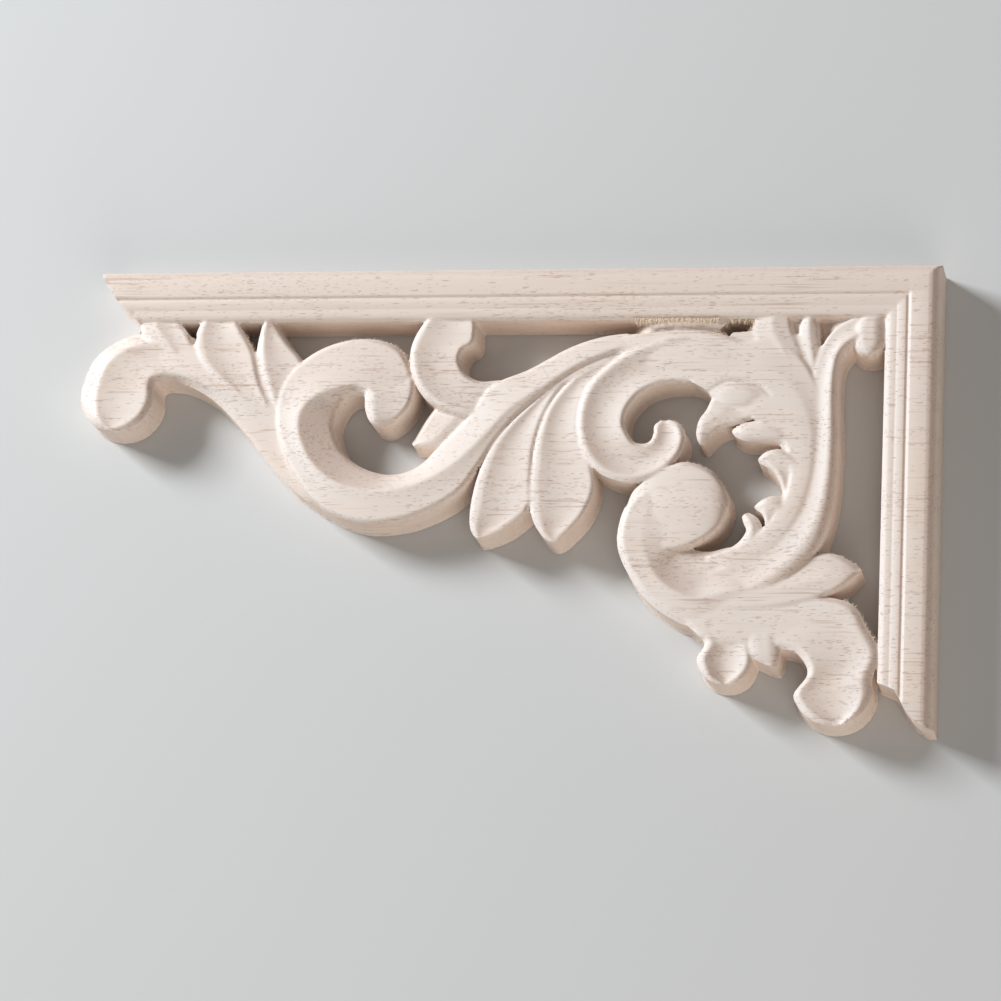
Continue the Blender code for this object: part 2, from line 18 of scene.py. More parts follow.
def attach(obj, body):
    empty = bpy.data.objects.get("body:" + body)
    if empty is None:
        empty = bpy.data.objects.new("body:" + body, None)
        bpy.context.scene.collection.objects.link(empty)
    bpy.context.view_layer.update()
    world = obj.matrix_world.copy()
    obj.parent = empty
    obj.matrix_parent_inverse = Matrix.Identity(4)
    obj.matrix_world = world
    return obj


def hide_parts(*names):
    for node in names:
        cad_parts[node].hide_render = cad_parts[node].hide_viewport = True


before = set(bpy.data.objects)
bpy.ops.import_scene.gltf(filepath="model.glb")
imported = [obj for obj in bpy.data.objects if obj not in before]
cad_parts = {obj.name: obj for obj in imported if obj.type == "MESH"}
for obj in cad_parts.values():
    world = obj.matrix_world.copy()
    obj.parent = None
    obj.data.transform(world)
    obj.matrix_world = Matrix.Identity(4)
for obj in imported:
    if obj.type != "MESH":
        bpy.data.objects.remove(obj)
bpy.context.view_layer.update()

bl_info = {
    "name": "Carved corner onlay",
    "version": (1, 0, 0),
    "blender": (4, 5, 0),
    "location": "3D View > Sidebar > Onlay",
    "description": "Builds a carved wooden corner onlay, its torn fibres and its studio",
    "category": "Object",
}

MM = 0.001
BODY = "root"
NODE = "corner_onlay"

# Both rails: distance from the outer edge, height
RAIL_PROFILE = (
    (0.0, 6.6), (0.1, 7.4), (0.3, 8.2), (0.6, 8.9), (1.1, 9.5), (1.7, 9.86), (2.4, 10.0),
    (5.5, 10.0), (5.75, 9.85), (5.95, 9.35), (6.15, 9.6), (6.45, 9.8), (7.2, 9.68), (7.9, 9.55),
    (8.1, 9.36), (8.3, 9.46), (9.2, 9.35), (9.8, 9.1), (10.1, 8.7), (10.25, 8.0),
)
# Ends of the rails: share of the rail's width, distance that the end stands back
LONG_END_SHAPE = (
    (0.0, 0.0), (0.07, 0.15), (0.14, 0.5), (0.3, 1.3), (0.5, 2.8), (0.72, 5.0), (0.84, 6.3),
    (0.92, 7.2), (1.0, 7.9),
)
SHORT_END_SHAPE = (
    (0.0, 0.0), (0.1, 0.2), (0.19, 0.6), (0.34, 1.7), (0.51, 3.8), (0.61, 5.8), (0.68, 7.1),
    (0.8, 7.7), (1.0, 8.5),
)
LONG_END = -153.2
SHORT_END = -81.6
RAIL_WIDTH = 10.25
RAIL_FACE = RAIL_WIDTH / 2

# Carved strips between a left and a right edge. First the shape: crest position across the
# strip, drop from the crest to the left and right shoulders, fall of the left and right edges,
# and how deep each side is hollowed. Then the stations: left x, left y, right x, right y, crest
# height. A station may also give its own crest position, and the share of the drops and hollows
# that holds there. BED is the shape of a plain low bed.
BED = (0.5, 0.1, 0.1, 0.1, 0.1, 0.0, 0.0)
STRIPS = {
    "volute": ((0.25, 1.1, 0.3, 0.7, 1, 0, 0.3), (
        (-126, -12, -124.6, -21.3, 7.8), (-132, -8.8, -130.2, -18.6, 8.8), (-138, -7, -135, -16.4, 9.1),
        (-144.6, -6.8, -138.9, -15.8, 9.2), (-150, -8.6, -141.3, -16.2, 9.3),
        (-154, -12.2, -142, -17.4, 9.3), (-155.9, -17.8, -141.8, -19.8, 9.3),
    )),
    "leaf_bed": (BED, (
        (-56, -9.6, -44, -12, 8.6), (-66, -16.6, -55, -21, 8.8), (-76, -27, -56.4, -29, 8.8),
        (-78.6, -36, -60, -35, 8.6), (-72, -41.4, -66.8, -41.4, 8.2),
    )),
    "branch_bed": (BED, (
        (-38.4, -16, -33, -7.8, 8.8), (-33.6, -20.6, -22, -7.8, 8.8), (-26, -24.6, -14.6, -13.6, 8.8),
        (-22.6, -32.6, -14.2, -26, 8.8), (-23.6, -40.4, -14.6, -38, 8.8), (-28.4, -46.6, -18, -47.6, 8.6),
        (-36.6, -50, -24, -54.6, 8.4),
    )),
    "corner_bed": (BED, (
        (-23.2, -4.4, -23.2, -11, 7.4), (-19.4, -4.4, -19.6, -11.4, 7.2), (-16.2, -4.4, -16.4, -11.6, 5.8),
        (-13, -4.4, -13.6, -10, 7.6), (-6, -4.4, -8, -8, 8.2),
    )),
    "groove_bed": (BED, (
        (-51, -4.6, -53, -9.8, 3.6), (-49, -4.6, -50.4, -9.8, 6.8), (-44, -4.6, -44, -9.8, 8),
        (-33.4, -4.6, -38.4, -9.8, 7.6),
    )),
    "skirt": ((0.5, 0.2, 0.2, 0.3, 0.3, 0, 0), (
        (-47, -51, -20, -50.6, 8.1), (-44.4, -57, -15.6, -56, 8.1), (-39, -61.8, -14.6, -61.4, 8),
        (-34.6, -66.2, -22.6, -65.8, 7.8),
    )),
    "web": ((0.62, 0.1, 1.5, 0, 0.7, 0, 0.1), (
        (-148, -8, -141.2, -16, 8.4, 0.8), (-142, -8.5, -136.6, -16.5, 8.9, 0.8),
        (-134, -9.5, -130.6, -19.6, 9.1, 0.76), (-125, -10.5, -124.7, -25.3, 9, 0.62),
        (-116, -14, -119, -32, 8.6, 0.5), (-112.5, -24, -114.2, -37, 8.2, 0.5),
        (-107.5, -33, -108.6, -40.8, 7.6, 0.5),
    )),
    "leaflet_1": ((0.4, 0.3, 0.3, 0.8, 0.5, 0, 0.15), (
        (-145.1, -4, -138.6, -4, 8.6), (-144.8, -6.8, -135.8, -7.2, 9.2), (-141.6, -10, -134.2, -10.4, 9.2),
        (-137.6, -13, -133, -14, 8.6),
    )),
    "leaflet_2": ((0.14, 0.1, 0.3, 0.6, 0.8, 0, 0.35), (
        (-132.9, -4, -127, -4, 8.8), (-134, -7.4, -125.2, -7, 9.4), (-133.8, -10.8, -122.9, -11, 9.5),
        (-131.4, -14.4, -121.4, -16.4, 9.5), (-126.2, -18.6, -119.2, -21.6, 9.2),
    )),
    "leaflet_3": ((0.2, 0.5, 0.5, 0.8, 1.2, 0, 0.2), (
        (-121.4, -4, -119.8, -4.4, 8.8), (-122.2, -9.2, -116.5, -9.1, 9.4),
        (-122.3, -13.2, -113.3, -13, 9.3), (-121, -17.2, -112.5, -18, 9.2), (-118.8, -22, -113, -22.5, 8.8),
    )),
    "big_scroll": ((0.5, 0.9, 2.1, 1.1, 1.1, 0.1, 0), (
        (-92.4, -15.2, -99.4, -20.2, 9.4, 0.88, 0.4), (-94.9, -10.8, -101.3, -19.4, 9.6, 0.86, 0.5),
        (-99.4, -8.7, -102.8, -19.1, 9.7, 0.84, 0.5), (-105.6, -8.9, -104.2, -19.5, 9.8, 0.84, 0.6),
        (-111.4, -11.2, -105.5, -20.5, 9.9, 0.76, 0.8), (-116.2, -15.6, -106.6, -22.4, 9.9, 0.6, 1),
        (-118, -21.6, -107.1, -25.2, 9.9, 0.44, 1), (-116.9, -28, -106, -28.6, 9.9, 0.38, 1),
        (-113.9, -34.4, -103.9, -31.2, 9.9, 0.4, 1), (-109, -40.3, -100.9, -33.1, 9.9, 0.5, 1),
        (-101.6, -43.6, -97, -34.2, 9.9, 0.6, 1), (-94, -43.4, -93.3, -33.9, 9.9, 0.62, 0.9),
        (-87.6, -41.2, -90, -32.3, 9.9, 0.58, 0.8), (-82.4, -37.8, -87.2, -29.4, 9.9, 0.5, 0.7),
        (-78.9, -33, -84.2, -26.4, 9.9, 0.4, 0.6), (-75.8, -28, -80.9, -22.6, 9.9, 0.3, 0.5),
        (-72, -23.4, -77.6, -17.6, 9.9, 0.24, 0.45), (-66.6, -18.8, -70.6, -14.5, 9.8, 0.2, 0.4),
        (-60.8, -14.6, -62.4, -10, 9.6, 0.2, 0.35), (-53, -11.2, -54.7, -7.8, 9.2, 0.2, 0.3),
        (-45, -9.8, -45.5, -7.5, 8.8, 0.2, 0.3),
    )),
    "tongue": ((0.2, 0.3, 0.5, 0.9, 1.1, 0, 0.1), (
        (-101.8, -15, -92.9, -12.8, 8.6), (-101.2, -19, -91.9, -17.2, 9.6),
        (-100.9, -22.2, -92.4, -20.8, 9.6), (-99.8, -24.6, -94.4, -23.6, 9.3),
        (-97.9, -25.5, -96.6, -25.3, 8.2),
    )),
    "small_scroll": ((0.12, 0.15, 0.5, 1.1, 1.2, 0, 0.3), (
        (-89.6, -3.6, -81.2, -3.8, 9), (-92, -7.6, -81, -8.9, 9.4), (-93, -11.4, -83, -10.6, 9.6),
        (-92.4, -15.6, -83.6, -12.8, 9.6), (-90.4, -19.3, -82.2, -15.4, 9.5),
        (-87, -21.9, -79.6, -16.7, 9.3), (-82.6, -23.4, -76, -16.4, 9), (-78.4, -24, -72.4, -16, 8.4),
    )),
    "barb": ((0.55, 0.5, 0.5, 1, 0.6, 0, 0), (
        (-87.4, -20.2, -78.6, -20.4, 7.4), (-89.4, -23.2, -81.4, -25.2, 7.8), (-91, -25.8, -86, -29, 7.4),
        (-92.5, -27.9, -91.6, -28.7, 6.2),
    )),
    "leaf_a": ((0.16, 0.15, 0.15, 0.5, 0.4, 0, 0.4), (
        (-49, -9.6, -48, -12, 8), (-56, -12, -54.2, -13.4, 8.8), (-62.2, -15.2, -60, -15.6, 9.2),
        (-68.6, -20.4, -64.4, -18, 9.3), (-73.6, -25, -67.4, -23.6, 9.4), (-77, -29.4, -68.9, -29.6, 9.4),
        (-79.2, -35.4, -69.2, -35.4, 9.4), (-80.2, -41, -69.2, -40.4, 9.3),
        (-80.1, -44.6, -73.4, -44.4, 9.1), (-79.1, -46.5, -77.6, -46.3, 8.8),
    )),
    "leaf_b": ((0.14, 0.15, 0.15, 0.45, 0.5, 0, 0.4), (
        (-48.5, -10.8, -47.5, -13.6, 8), (-55.6, -12.6, -53.4, -14.4, 8.8), (-61.6, -15.8, -58, -16.8, 9.2),
        (-66.4, -21.4, -60.4, -21.4, 9.3), (-68.4, -27.2, -60.6, -27.2, 9.4),
        (-69.2, -33.6, -58.2, -32.8, 9.4), (-69.3, -39.4, -57.5, -37.2, 9.4),
        (-68.4, -43.4, -59.2, -41.8, 9.3), (-66.8, -46, -62.4, -45.6, 9.1),
        (-65.2, -47.2, -64.3, -47.1, 8.8),
    )),
    "curl": ((0.12, 0.1, 0.3, 0.6, 0.8, 0, 0.6), (
        (-32, -9.4, -34.6, -17.6, 8), (-41, -8.2, -41, -17.2, 9.3), (-48, -9.6, -45.8, -17.5, 9.6),
        (-54.2, -12.8, -49.6, -19.3, 9.8), (-59.2, -17.8, -51.9, -22.3, 9.9),
        (-61, -24.2, -52.4, -25.2, 9.9), (-59.8, -30.4, -51.4, -27.4, 9.9),
        (-56.2, -34.6, -50.4, -28.6, 9.7), (-51, -36.1, -49.2, -28.9, 9.6), (-46, -34.8, -48, -28.7, 9.5),
        (-42.4, -31.6, -47.2, -27.9, 9.4), (-41.2, -28.2, -46.9, -26.5, 9.1),
        (-41.9, -25.5, -46.9, -25.2, 8.7), (-43.6, -24.3, -46, -24.2, 8),
    )),
    "crown": ((0.4, 0.35, 0.2, 0.5, 0, 0.05, -0.1), (
        (-60, -9.4, -58.6, -12.6, 7.6), (-54.6, -8, -52.4, -13, 8.9), (-47, -7.5, -46.4, -14.6, 9.3),
        (-38.4, -7.3, -39.4, -17.6, 9.5), (-31.2, -9.3, -34, -21, 9.55), (-24.8, -9, -28.6, -24.2, 9.55),
        (-19.4, -13.6, -24, -27, 9.5), (-16.2, -21, -21.8, -31.6, 9.4), (-15.4, -30, -22, -37.6, 9.3),
        (-16.8, -39.6, -25.2, -43.8, 9.2), (-20.6, -47.6, -30.4, -48, 8.9),
        (-27.6, -53.6, -36.4, -50.2, 8.4),
    )),
    "fan": ((0.5, 0.4, 0.4, 0.2, 0.35, 0, 0), (
        (-28.2, -3.8, -22.6, -3.8, 8.8), (-29.2, -7.8, -22, -7.4, 9.3), (-26, -12.6, -20, -12, 9.3),
        (-22.6, -17.4, -18.6, -17, 8.9),
    )),
    "fan_tip": ((0.5, 0.4, 0.4, 0.35, 0.35, 0, 0), (
        (-20, -3.8, -17.8, -3.8, 8.6), (-20.8, -7.6, -17.2, -7.8, 9.2), (-20.2, -12, -16.6, -11.6, 9.1),
        (-19, -16.4, -16.4, -16, 8.6),
    )),
    "stem": ((0.72, 0.8, 0.6, 0.3, 1.2, 0.3, -0.2), (
        (-7, -4.8, -6.6, -9, 9.2), (-11.6, -5.4, -10.4, -10.2, 9.5), (-15.4, -8.2, -12.6, -12.4, 9.6),
        (-17.5, -12.9, -13.3, -15.6, 9.7), (-18.4, -19.4, -13.4, -20.4, 9.8), (-19, -27.2, -13.1, -28, 9.8),
        (-20, -34.2, -13.3, -36.4, 9.8), (-22.4, -40.8, -14.4, -43.6, 9.7),
        (-26.4, -46.6, -17.2, -49.8, 9.6), (-31.6, -50.8, -24, -56, 9.3), (-38, -53.4, -33, -60, 8.9),
    )),
    "stem_ball": ((0.5, 0.9, 0.9, 1.4, 1.4, -0.35, -0.35), (
        (-10.4, -4.8, -4.4, -4.8, 8.8), (-11.4, -6.8, -4.6, -6.8, 9.5), (-11.4, -9.1, -4.6, -9.1, 9.6),
    )),
    "lobe_1": ((0.35, 0.15, 0.3, 0.5, 0.9, 0, 0.05), (
        (-35.6, -17.6, -26.8, -20, 8.9), (-36.4, -20.4, -27.8, -23.2, 9.3),
        (-37.3, -22.6, -30.6, -24.9, 9.45), (-38.5, -24.4, -34, -25.6, 9.45), (-39, -26.2, -36, -26.8, 9.2),
        (-38.9, -27.8, -37.2, -28.2, 8.8), (-38.4, -28.8, -37.9, -28.9, 8.2),
    )),
    "lens": ((0.4, 0.35, 0.3, 0.5, 0.15, -0.1, -0.1), (
        (-36.9, -19.3, -36.5, -20, 9.2), (-34.2, -17.9, -34.2, -21.4, 9.75),
        (-30.6, -17.6, -30.8, -21.8, 9.9), (-27.6, -18.6, -28.2, -21.2, 9.7),
        (-25.8, -20.1, -25.9, -20.6, 9.2),
    )),
    "lobe_2": ((0.5, 0.4, 0.3, 0.4, 1, -0.1, -0.1), (
        (-32.6, -26.2, -32.3, -27, 8.5), (-31.2, -25.4, -30.6, -28.1, 9.3), (-28, -24.7, -27.8, -28.5, 9.6),
        (-24, -25, -24.6, -28.8, 9.5), (-20.4, -26.4, -21.4, -29.8, 8.9),
    )),
    "lobe_3": ((0.25, 0.3, 0.4, 0.6, 1.1, 0, 0.4), (
        (-27.6, -31.7, -27.5, -32.3, 8.5), (-26.2, -30.5, -25.9, -33.2, 9.3),
        (-23.8, -30, -24.4, -34.5, 9.5), (-20.8, -30.9, -23.4, -36.4, 9.4),
        (-18.4, -33.4, -22.9, -38.4, 9.1), (-17.2, -37, -22.6, -40.4, 8.4),
    )),
    "lobe_4": ((0.3, 0.3, 0.3, 0.5, 0.8, 0, 0.25), (
        (-28, -40.4, -27.8, -41, 8.3), (-26.4, -39.3, -26.6, -41.9, 9.1), (-24.4, -38.7, -26, -43.3, 9.3),
        (-21.8, -39.4, -26.2, -45, 9.1), (-19.4, -41.6, -27, -47, 8.4),
    )),
    "lobe_5": ((0.4, 0.3, 0.3, 0.8, 0.4, 0, 0.15), (
        (-30.3, -42.3, -29.2, -41.6, 8.2), (-29.9, -43.6, -27.4, -42.8, 8.8),
        (-29.4, -45.2, -26.4, -44.8, 9), (-30.9, -47.3, -25.8, -47.2, 8.7), (-34, -49, -26.6, -50.8, 7.6),
    )),
    "great_scroll": ((0.34, 0.6, 1.6, 1, 0.3, 0, 0.3), (
        (-24, -58.6, -24.6, -49.6, 9.1, 0.34, 1), (-32, -60.8, -31.4, -48, 9.3, 0.34, 1),
        (-39.2, -62.6, -36.4, -48.9, 9.4, 0.34, 1), (-46.2, -58.8, -40.4, -48, 9.6, 0.34, 0.9),
        (-50.6, -53.2, -42.4, -46.4, 9.7, 0.4, 0.3), (-52.8, -47.2, -43.4, -43.8, 9.7, 0.5, 0.1),
        (-51.4, -40.4, -42.8, -41.8, 9.6, 0.5, 0.1), (-47.2, -36.4, -41.6, -40.8, 9.2, 0.5, 0.1),
    )),
    "eye": ((0.5, 0.45, 0.45, 1.3, 1.5, 0, 0), (
        (-51.6, -40.6, -51.4, -44.4, 8), (-50.1, -37.2, -49.8, -47.2, 8.9), (-46.4, -34.1, -46, -48.8, 9.6),
        (-41.4, -32.3, -41.6, -48.9, 9.9), (-36.8, -33.6, -37.4, -47.2, 9.9),
        (-34, -36.4, -34.4, -44.6, 9.6), (-32.7, -39.2, -32.8, -41.4, 8.8),
    )),
    "spur": ((0.6, 0.9, 0.1, 0.8, 1.2, 0.25, 0), (
        (-40, -54.4, -40, -60.4, 8.8), (-30, -52.4, -30.2, -60, 9.1), (-21, -50.4, -21.6, -59.2, 9.3),
        (-14.4, -49.2, -14.6, -57.2, 9.3), (-10.2, -50.8, -11, -55, 9.1), (-8.5, -52.1, -8.7, -52.6, 8.4),
    )),
    "foot_face": ((0.5, 0.1, 0.1, 0.2, 0.2, 0, 0), (
        (-46, -55, -45.2, -58.4, 8.6), (-38, -57.6, -39.6, -62.2, 8.8), (-30, -58.6, -35.6, -65.4, 8.9),
        (-22, -58.4, -26, -66.2, 8.9), (-14, -58.4, -21.4, -66.8, 8.9), (-10.6, -59.6, -18, -68.4, 8.8),
    )),
    "end_curl": ((0.13, 0.2, 0.5, 0.8, 0.9, 0, 0.8), (
        (-26, -57.2, -30.6, -64.8, 8.4, 0.13, 0.1), (-18, -57, -24.6, -66.6, 8.9, 0.13, 0.1),
        (-10.2, -58.6, -20.4, -67.2, 9.2, 0.13, 0.2), (-7.2, -63, -18.2, -69.2, 9.3, 0.13, 0.4),
        (-4.8, -67.6, -17.6, -71.8, 9.4, 0.13, 0.8), (-6, -72.2, -19.9, -75.2, 9.4, 0.13, 1),
    )),
    "foot_curl": ((0.18, 0.2, 0.3, 0.8, 0.5, 0, 0.9), (
        (-45, -58.2, -35, -56.6, 8, 0.3, 0.1), (-39.4, -62.7, -30.6, -61.2, 8.8, 0.25, 0.1),
        (-36.3, -65.8, -28.6, -64.8, 8.9, 0.18, 0.5), (-37.5, -68.6, -27.7, -68.6, 9.2, 0.14, 1),
    )),
    "foot_nub": ((0.5, 0.3, 0.3, 0.5, 0.6, -0.15, -0.15), (
        (-31, -61.6, -22, -61.4, 8.4), (-29, -65.6, -22.6, -65.4, 9), (-28, -68.2, -22.7, -68.4, 9),
        (-25, -69.8, -23.2, -70.3, 8.4),
    )),
}

# Strips with a wider rounded edge than the rest
WIDE_EDGES = {"great_scroll": 1.3, "volute": 1.2, "end_curl": 1.1, "foot_curl": 0.8}
# Strips that end in a half disc, and how far its rim drops
ROUND_ENDS = {"volute": 0.5, "end_curl": 0.5, "foot_curl": 0.4, "stem_ball": 1.6}
ROUND_ANGLES = (22, 42, 58, 72, 84)

# How finely a strip is laid: step as a share of a cell, spare points along it and across it
LAY_STEP = 0.45
SPARE_ALONG = 1.3
SPARE_ACROSS = 1.1
# Rounded edge of a strip: the most of its width that it takes, and how its fall curves
WIDEST_EDGE = 0.28
EDGE_CURVE = 1.4
# Least share of a strip's width on either side of its crest, beside the rounded edge
LEAST_SIDE = 0.02
# Strips narrower than these are hollowed and rounded less
FULL_DISH_WIDTH = 7.0
FULL_FALL_WIDTH = 3.5
LEAST_FALL = 0.25

# Fine grooves cut after the strips: points along it, width, depth
VEINS = (
    (((-36.8, -19.0), (-34.2, -17.5), (-30.5, -17.2), (-27.6, -18.1), (-25.6, -20.0)), 0.3, 0.4),
    (((-34.6, -21.9), (-31.0, -22.2), (-27.8, -21.6)), 0.4, 0.15),
)
# Points laid for each one given, reach in widths, and how the depth fades at both ends
VEIN_POINTS = 90
VEIN_REACH = 2.2
VEIN_FADE = 0.5

# Lowest height that counts as wood, the softened cover at which heights are kept and trusted,
# rounds in which they spread outwards, and how many times its softness a brush reaches
LOWEST_WOOD = 0.5
KEPT_COVER = 0.02
TRUSTED_COVER = 0.3
SPREAD_ROUNDS = 8
BRUSH_REACH = 3
# Share of the outline map that counts as inside, how soft that map is, halvings to
# find its line, how many steps a grid point moves to it, and rounds to open pinched points
OUTLINE = 0.5
OUTLINE_SOFTNESS = 0.16
HALVINGS = 9
FURTHEST_SNAP = 0.5
PINCH_ROUNDS = 4
# Grid: margin inside the map, a distance too small to matter, spacing about a crease of the
# moulding, least share of it kept
GRID_MARGIN = 1
TINY = 0.001
RAIL_SPLIT = 0.14
LEAST_SPLIT = 0.7
# The carving reaches no further than this in X
LOW_X = -155.95
# Walls: how far to either side the outline's slope is read, how near to the rails' outer faces
# a rim point counts as on them, and the height of the lip's shoulder as a share of the lip
SLOPE_REACH = 0.15
FACE_REACH = 0.05
LIP_SHOULDER = 0.35

# One torn fibre: joints, shares of the longest length, radii in metres, rise, curl and taper
FIBRE_JOINTS = 4
FIBRE_SHARES = (0.3, 1.0)
FIBRE_RADII = (0.00005, 0.0001)
FIBRE_RISE = (-0.4, 1.4)
FIBRE_CURL = 0.35
FIBRE_TAPER = 0.85
# How far below the edge fibres start, and how far they turn from their lean
FIBRE_ROOT = 0.1
FIBRE_DEPTH = 0.5
EDGE_STRAY = 0.45
# How fibres find the edge
PATH_POINTS = 400
TRIES = 12
STRAY = 0.35
RIM_COVER = (0.25, 0.85)
# Where fibres were left torn: points along the edge, direction they lean, how many, share of
# the fibre length
TORN_EDGES = (
    (((-106.0, -8.6), (-101.0, -8.2), (-97.0, -9.2), (-94.0, -11.6), (-92.4, -15.0)), (0.35, 0.9), 110, 0.8),
    (((-37.0, -7.4), (-33.6, -9.0), (-30.8, -9.2), (-29.4, -7.8), (-28.8, -5.4)), (-0.2, 0.7), 150, 1.3),
    (((-35.0, -5.1), (-32.0, -5.1), (-29.0, -5.1)), (0.1, -0.9), 90, 1.5),
    (((-47.6, -27.0), (-46.6, -24.9), (-44.4, -24.2), (-42.4, -25.2), (-41.2, -27.6)), (0.2, 0.9), 80, 0.5),
    (((-47.2, -34.2), (-43.0, -32.6), (-38.4, -33.2), (-35.2, -35.2), (-33.2, -38.2)), (0.4, 0.8), 130, 0.6),
    (((-17.0, -49.4), (-13.0, -49.4), (-9.8, -51.0), (-8.6, -52.4)), (0.4, 0.7), 90, 0.6),
    (((-11.6, -57.8), (-9.4, -60.0), (-7.4, -63.0), (-5.6, -66.0)), (0.8, 0.4), 110, 0.9),
    (((-27.8, -31.4), (-26.4, -30.4), (-24.4, -29.9)), (-0.3, 0.8), 24, 0.5),
    (((-29.2, -41.4), (-27.8, -40.0), (-25.6, -39.0)), (-0.3, 0.8), 24, 0.5),
    (((-125.0, -7.0), (-123.4, -9.8), (-122.4, -12.0)), (0.8, 0.4), 40, 0.7),
    (((-144.9, -5.6), (-145.2, -7.2)), (-0.9, 0.1), 16, 0.6),
)
# A comb of torn fibres in the groove under the long rail: ends, how many, share of the fibre length
COMB = (((-51.0, -5.2, 9.2), (-35.4, -5.2, 9.2)), 170, 1.9)
COMB_LEAN = (0.0, -1.0)
COMB_SCATTER = 0.12
COMB_STRAY = 0.16

# Fields of marks in the wood, in metres: length along the board, width across it, detail and,
# where they are not plain, roughness and bend. Beside each is the range of its values that
# shows, or its share in a sum.
GROWTH, GROWTH_RANGE = (0.12, 0.011, 3.0, 0.55, 0.3), (0.36, 0.66)
STREAKS, STREAK_RANGE = (0.03, 0.0007, 4.0, 0.6), (0.35, 0.7)
LINES, LINE_RANGE = (0.014, 0.00042, 1.0), (0.57, 0.72)
LINE_PLACES, LINE_PLACE_RANGE = (0.03, 0.006, 2.0), (0.38, 0.58)
FINE_NAP, FINE_NAP_SHARE = (0.0011, 0.00028, 3.0, 0.65), 0.7
SOFT_NAP, SOFT_NAP_SHARE = (0.004, 0.0016, 2.0), 0.3
FIBRE_PATCHES, FIBRE_PATCH_RANGE = (0.0006, 0.0006, 1.0), (0.4, 0.6)
# Open pores: length, width and share of the cell that each size fills, share of it that is dark,
# the bands in which they are thick, the chance of a pore there, and how dark single pores are
PORE_SIZES = ((0.0030, 0.00046, 0.31), (0.0020, 0.00036, 0.30), (0.0013, 0.00030, 0.30))
PORE_CORE = 0.45
PORE_BANDS = (0.034, 0.0036, 2.0)
PORE_CHANCE = (0.38, 0.64, 0.16, 0.95)
PORE_DARKNESS = (0.0, 1.0, 0.2, 0.95)
PORE_AMOUNT = 1.0
# Heights over which the painted shade of the walls and low hollows starts below the face and ends above the
# lip, and the place over which the colour of the rails starts
WALL_SHADE_TOP = (0.0086, 0.0066)
WALL_SHADE_FOOT = (0.0006, 0.0014)
RAIL_START = (-0.0056, -0.0048)

# How strongly each mark colours the wood, the painted highlight and shade among them
BAND_SHARE = 0.55
STREAK_SHARE = 0.45
RAIL_SHARE = 0.42
LINE_SHARE = 0.42
PORE_SHARE = 0.52
# Painted shade on the walls and low hollows
WALL_SHADE_SHARE = 0.26
# Painted highlight on slopes facing left, towards the light, and painted shade on slopes facing right, away
# from it
HIGHLIGHT_SHARE = 0.7
SLOPE_SHADE_SHARE = 0.75
FIBRE_PATCH_SHARE = 0.35
LIGHT_STREAK = 1.06
# How the nap changes the roughness and, with the pores, the surface
NAP_RANGE = (0.2, 0.8)
ROUGH_SPREAD = (-0.06, 0.08)
NAP_HEIGHT = 0.35
BUMP_STRENGTH = 0.5
BUMP_HEIGHT = 0.0001
WOOD_SHINE = 0.32
FIBRE_SHINE = 0.25
# Painted highlight and shade by facing: plan direction that the highlighted slopes face (slopes facing the
# other way get painted shade), how steep they are at full strength, and the upright part of the normal
# between which the effect fades out towards the walls
PAINTED_LIGHT_FROM = (-0.94, -0.34)
PAINTED_LIGHT_SLOPE = 0.36
PAINTED_LIGHT_FADE = (0.35, 0.75)
PAINTED_LIGHT_MARK = "nap_side"
# Angles, in radians, above which an edge shows sharp
CARVING_ANGLE = 0.7
FIBRE_ANGLE = 1.2

# Studio, in metres: where the camera stands and looks, its sensor in millimetres and its range
EYE = (0.0635, -0.23, 0.734)
AIM = (-0.0756, -0.0383, 0.004)
SENSOR = 36.0
CAMERA_RANGE = (0.01, 20.0)
# Lights: name, place, size, colour
LIGHTS = (
    ("key", (-0.92, 0.435, 0.56), 0.34, (0.91, 0.955, 1.0)),
    ("fill", (0.3, -0.8, 0.4), 0.8, (1.0, 0.92, 0.84)),
)
WORLD_LIGHT = 0.2
# Floor: half width, gap below the flat back, soft patches, how dark they are, roughness, shine
FLOOR_SIZE = 3.0
FLOOR_GAP = 0.00005
FLOOR_PATCHES, FLOOR_PATCH_RANGE = (0.2, 0.2, 3.0), (0.3, 0.7, 0.0, 0.12)
FLOOR_DARK = 0.97
FLOOR_ROUGH = 0.9
FLOOR_SHINE = 0.1


def length_setting(name, description, default, low, high):
    """A length in metres that a user may change."""
    return FloatProperty(
        name=name, description=description, default=default, min=low, max=high, precision=5, unit="LENGTH")


def colour_setting(name, description, default):
    """A colour that a user may change."""
    return FloatVectorProperty(
        name=name, description=description, default=default, size=3, min=0.0, max=1.0, subtype="COLOR")


class OnlaySizes(bpy.types.PropertyGroup):
    """Sizes of the carving and its torn fibres."""

    step: length_setting(
        "Grid step", "Distance between the points of the carved surface", 0.00033, 0.00025, 0.001)
    soft_edge: length_setting(
        "Soft edge", "Width of the rounding along each carved edge", 0.00055, 0.0002, 0.002)
    cutter: length_setting("Cutter softness", "How far the cutter softens each crease", 0.00016, 0.0, 0.001)
    lip: length_setting("Foot lip", "How far the foot of a wall stands out", 0.00028, 0.0, 0.001)
    lip_height: length_setting(
        "Lip height", "Height of the lip at the foot of a wall", 0.0007, 0.0002, 0.002)
    fibre: length_setting("Fibre length", "Longest torn fibre", 0.0008, 0.0002, 0.004)
    fibre_seed: IntProperty(
        name="Fibre seed", description="Number that sets how the torn fibres fall", default=7)


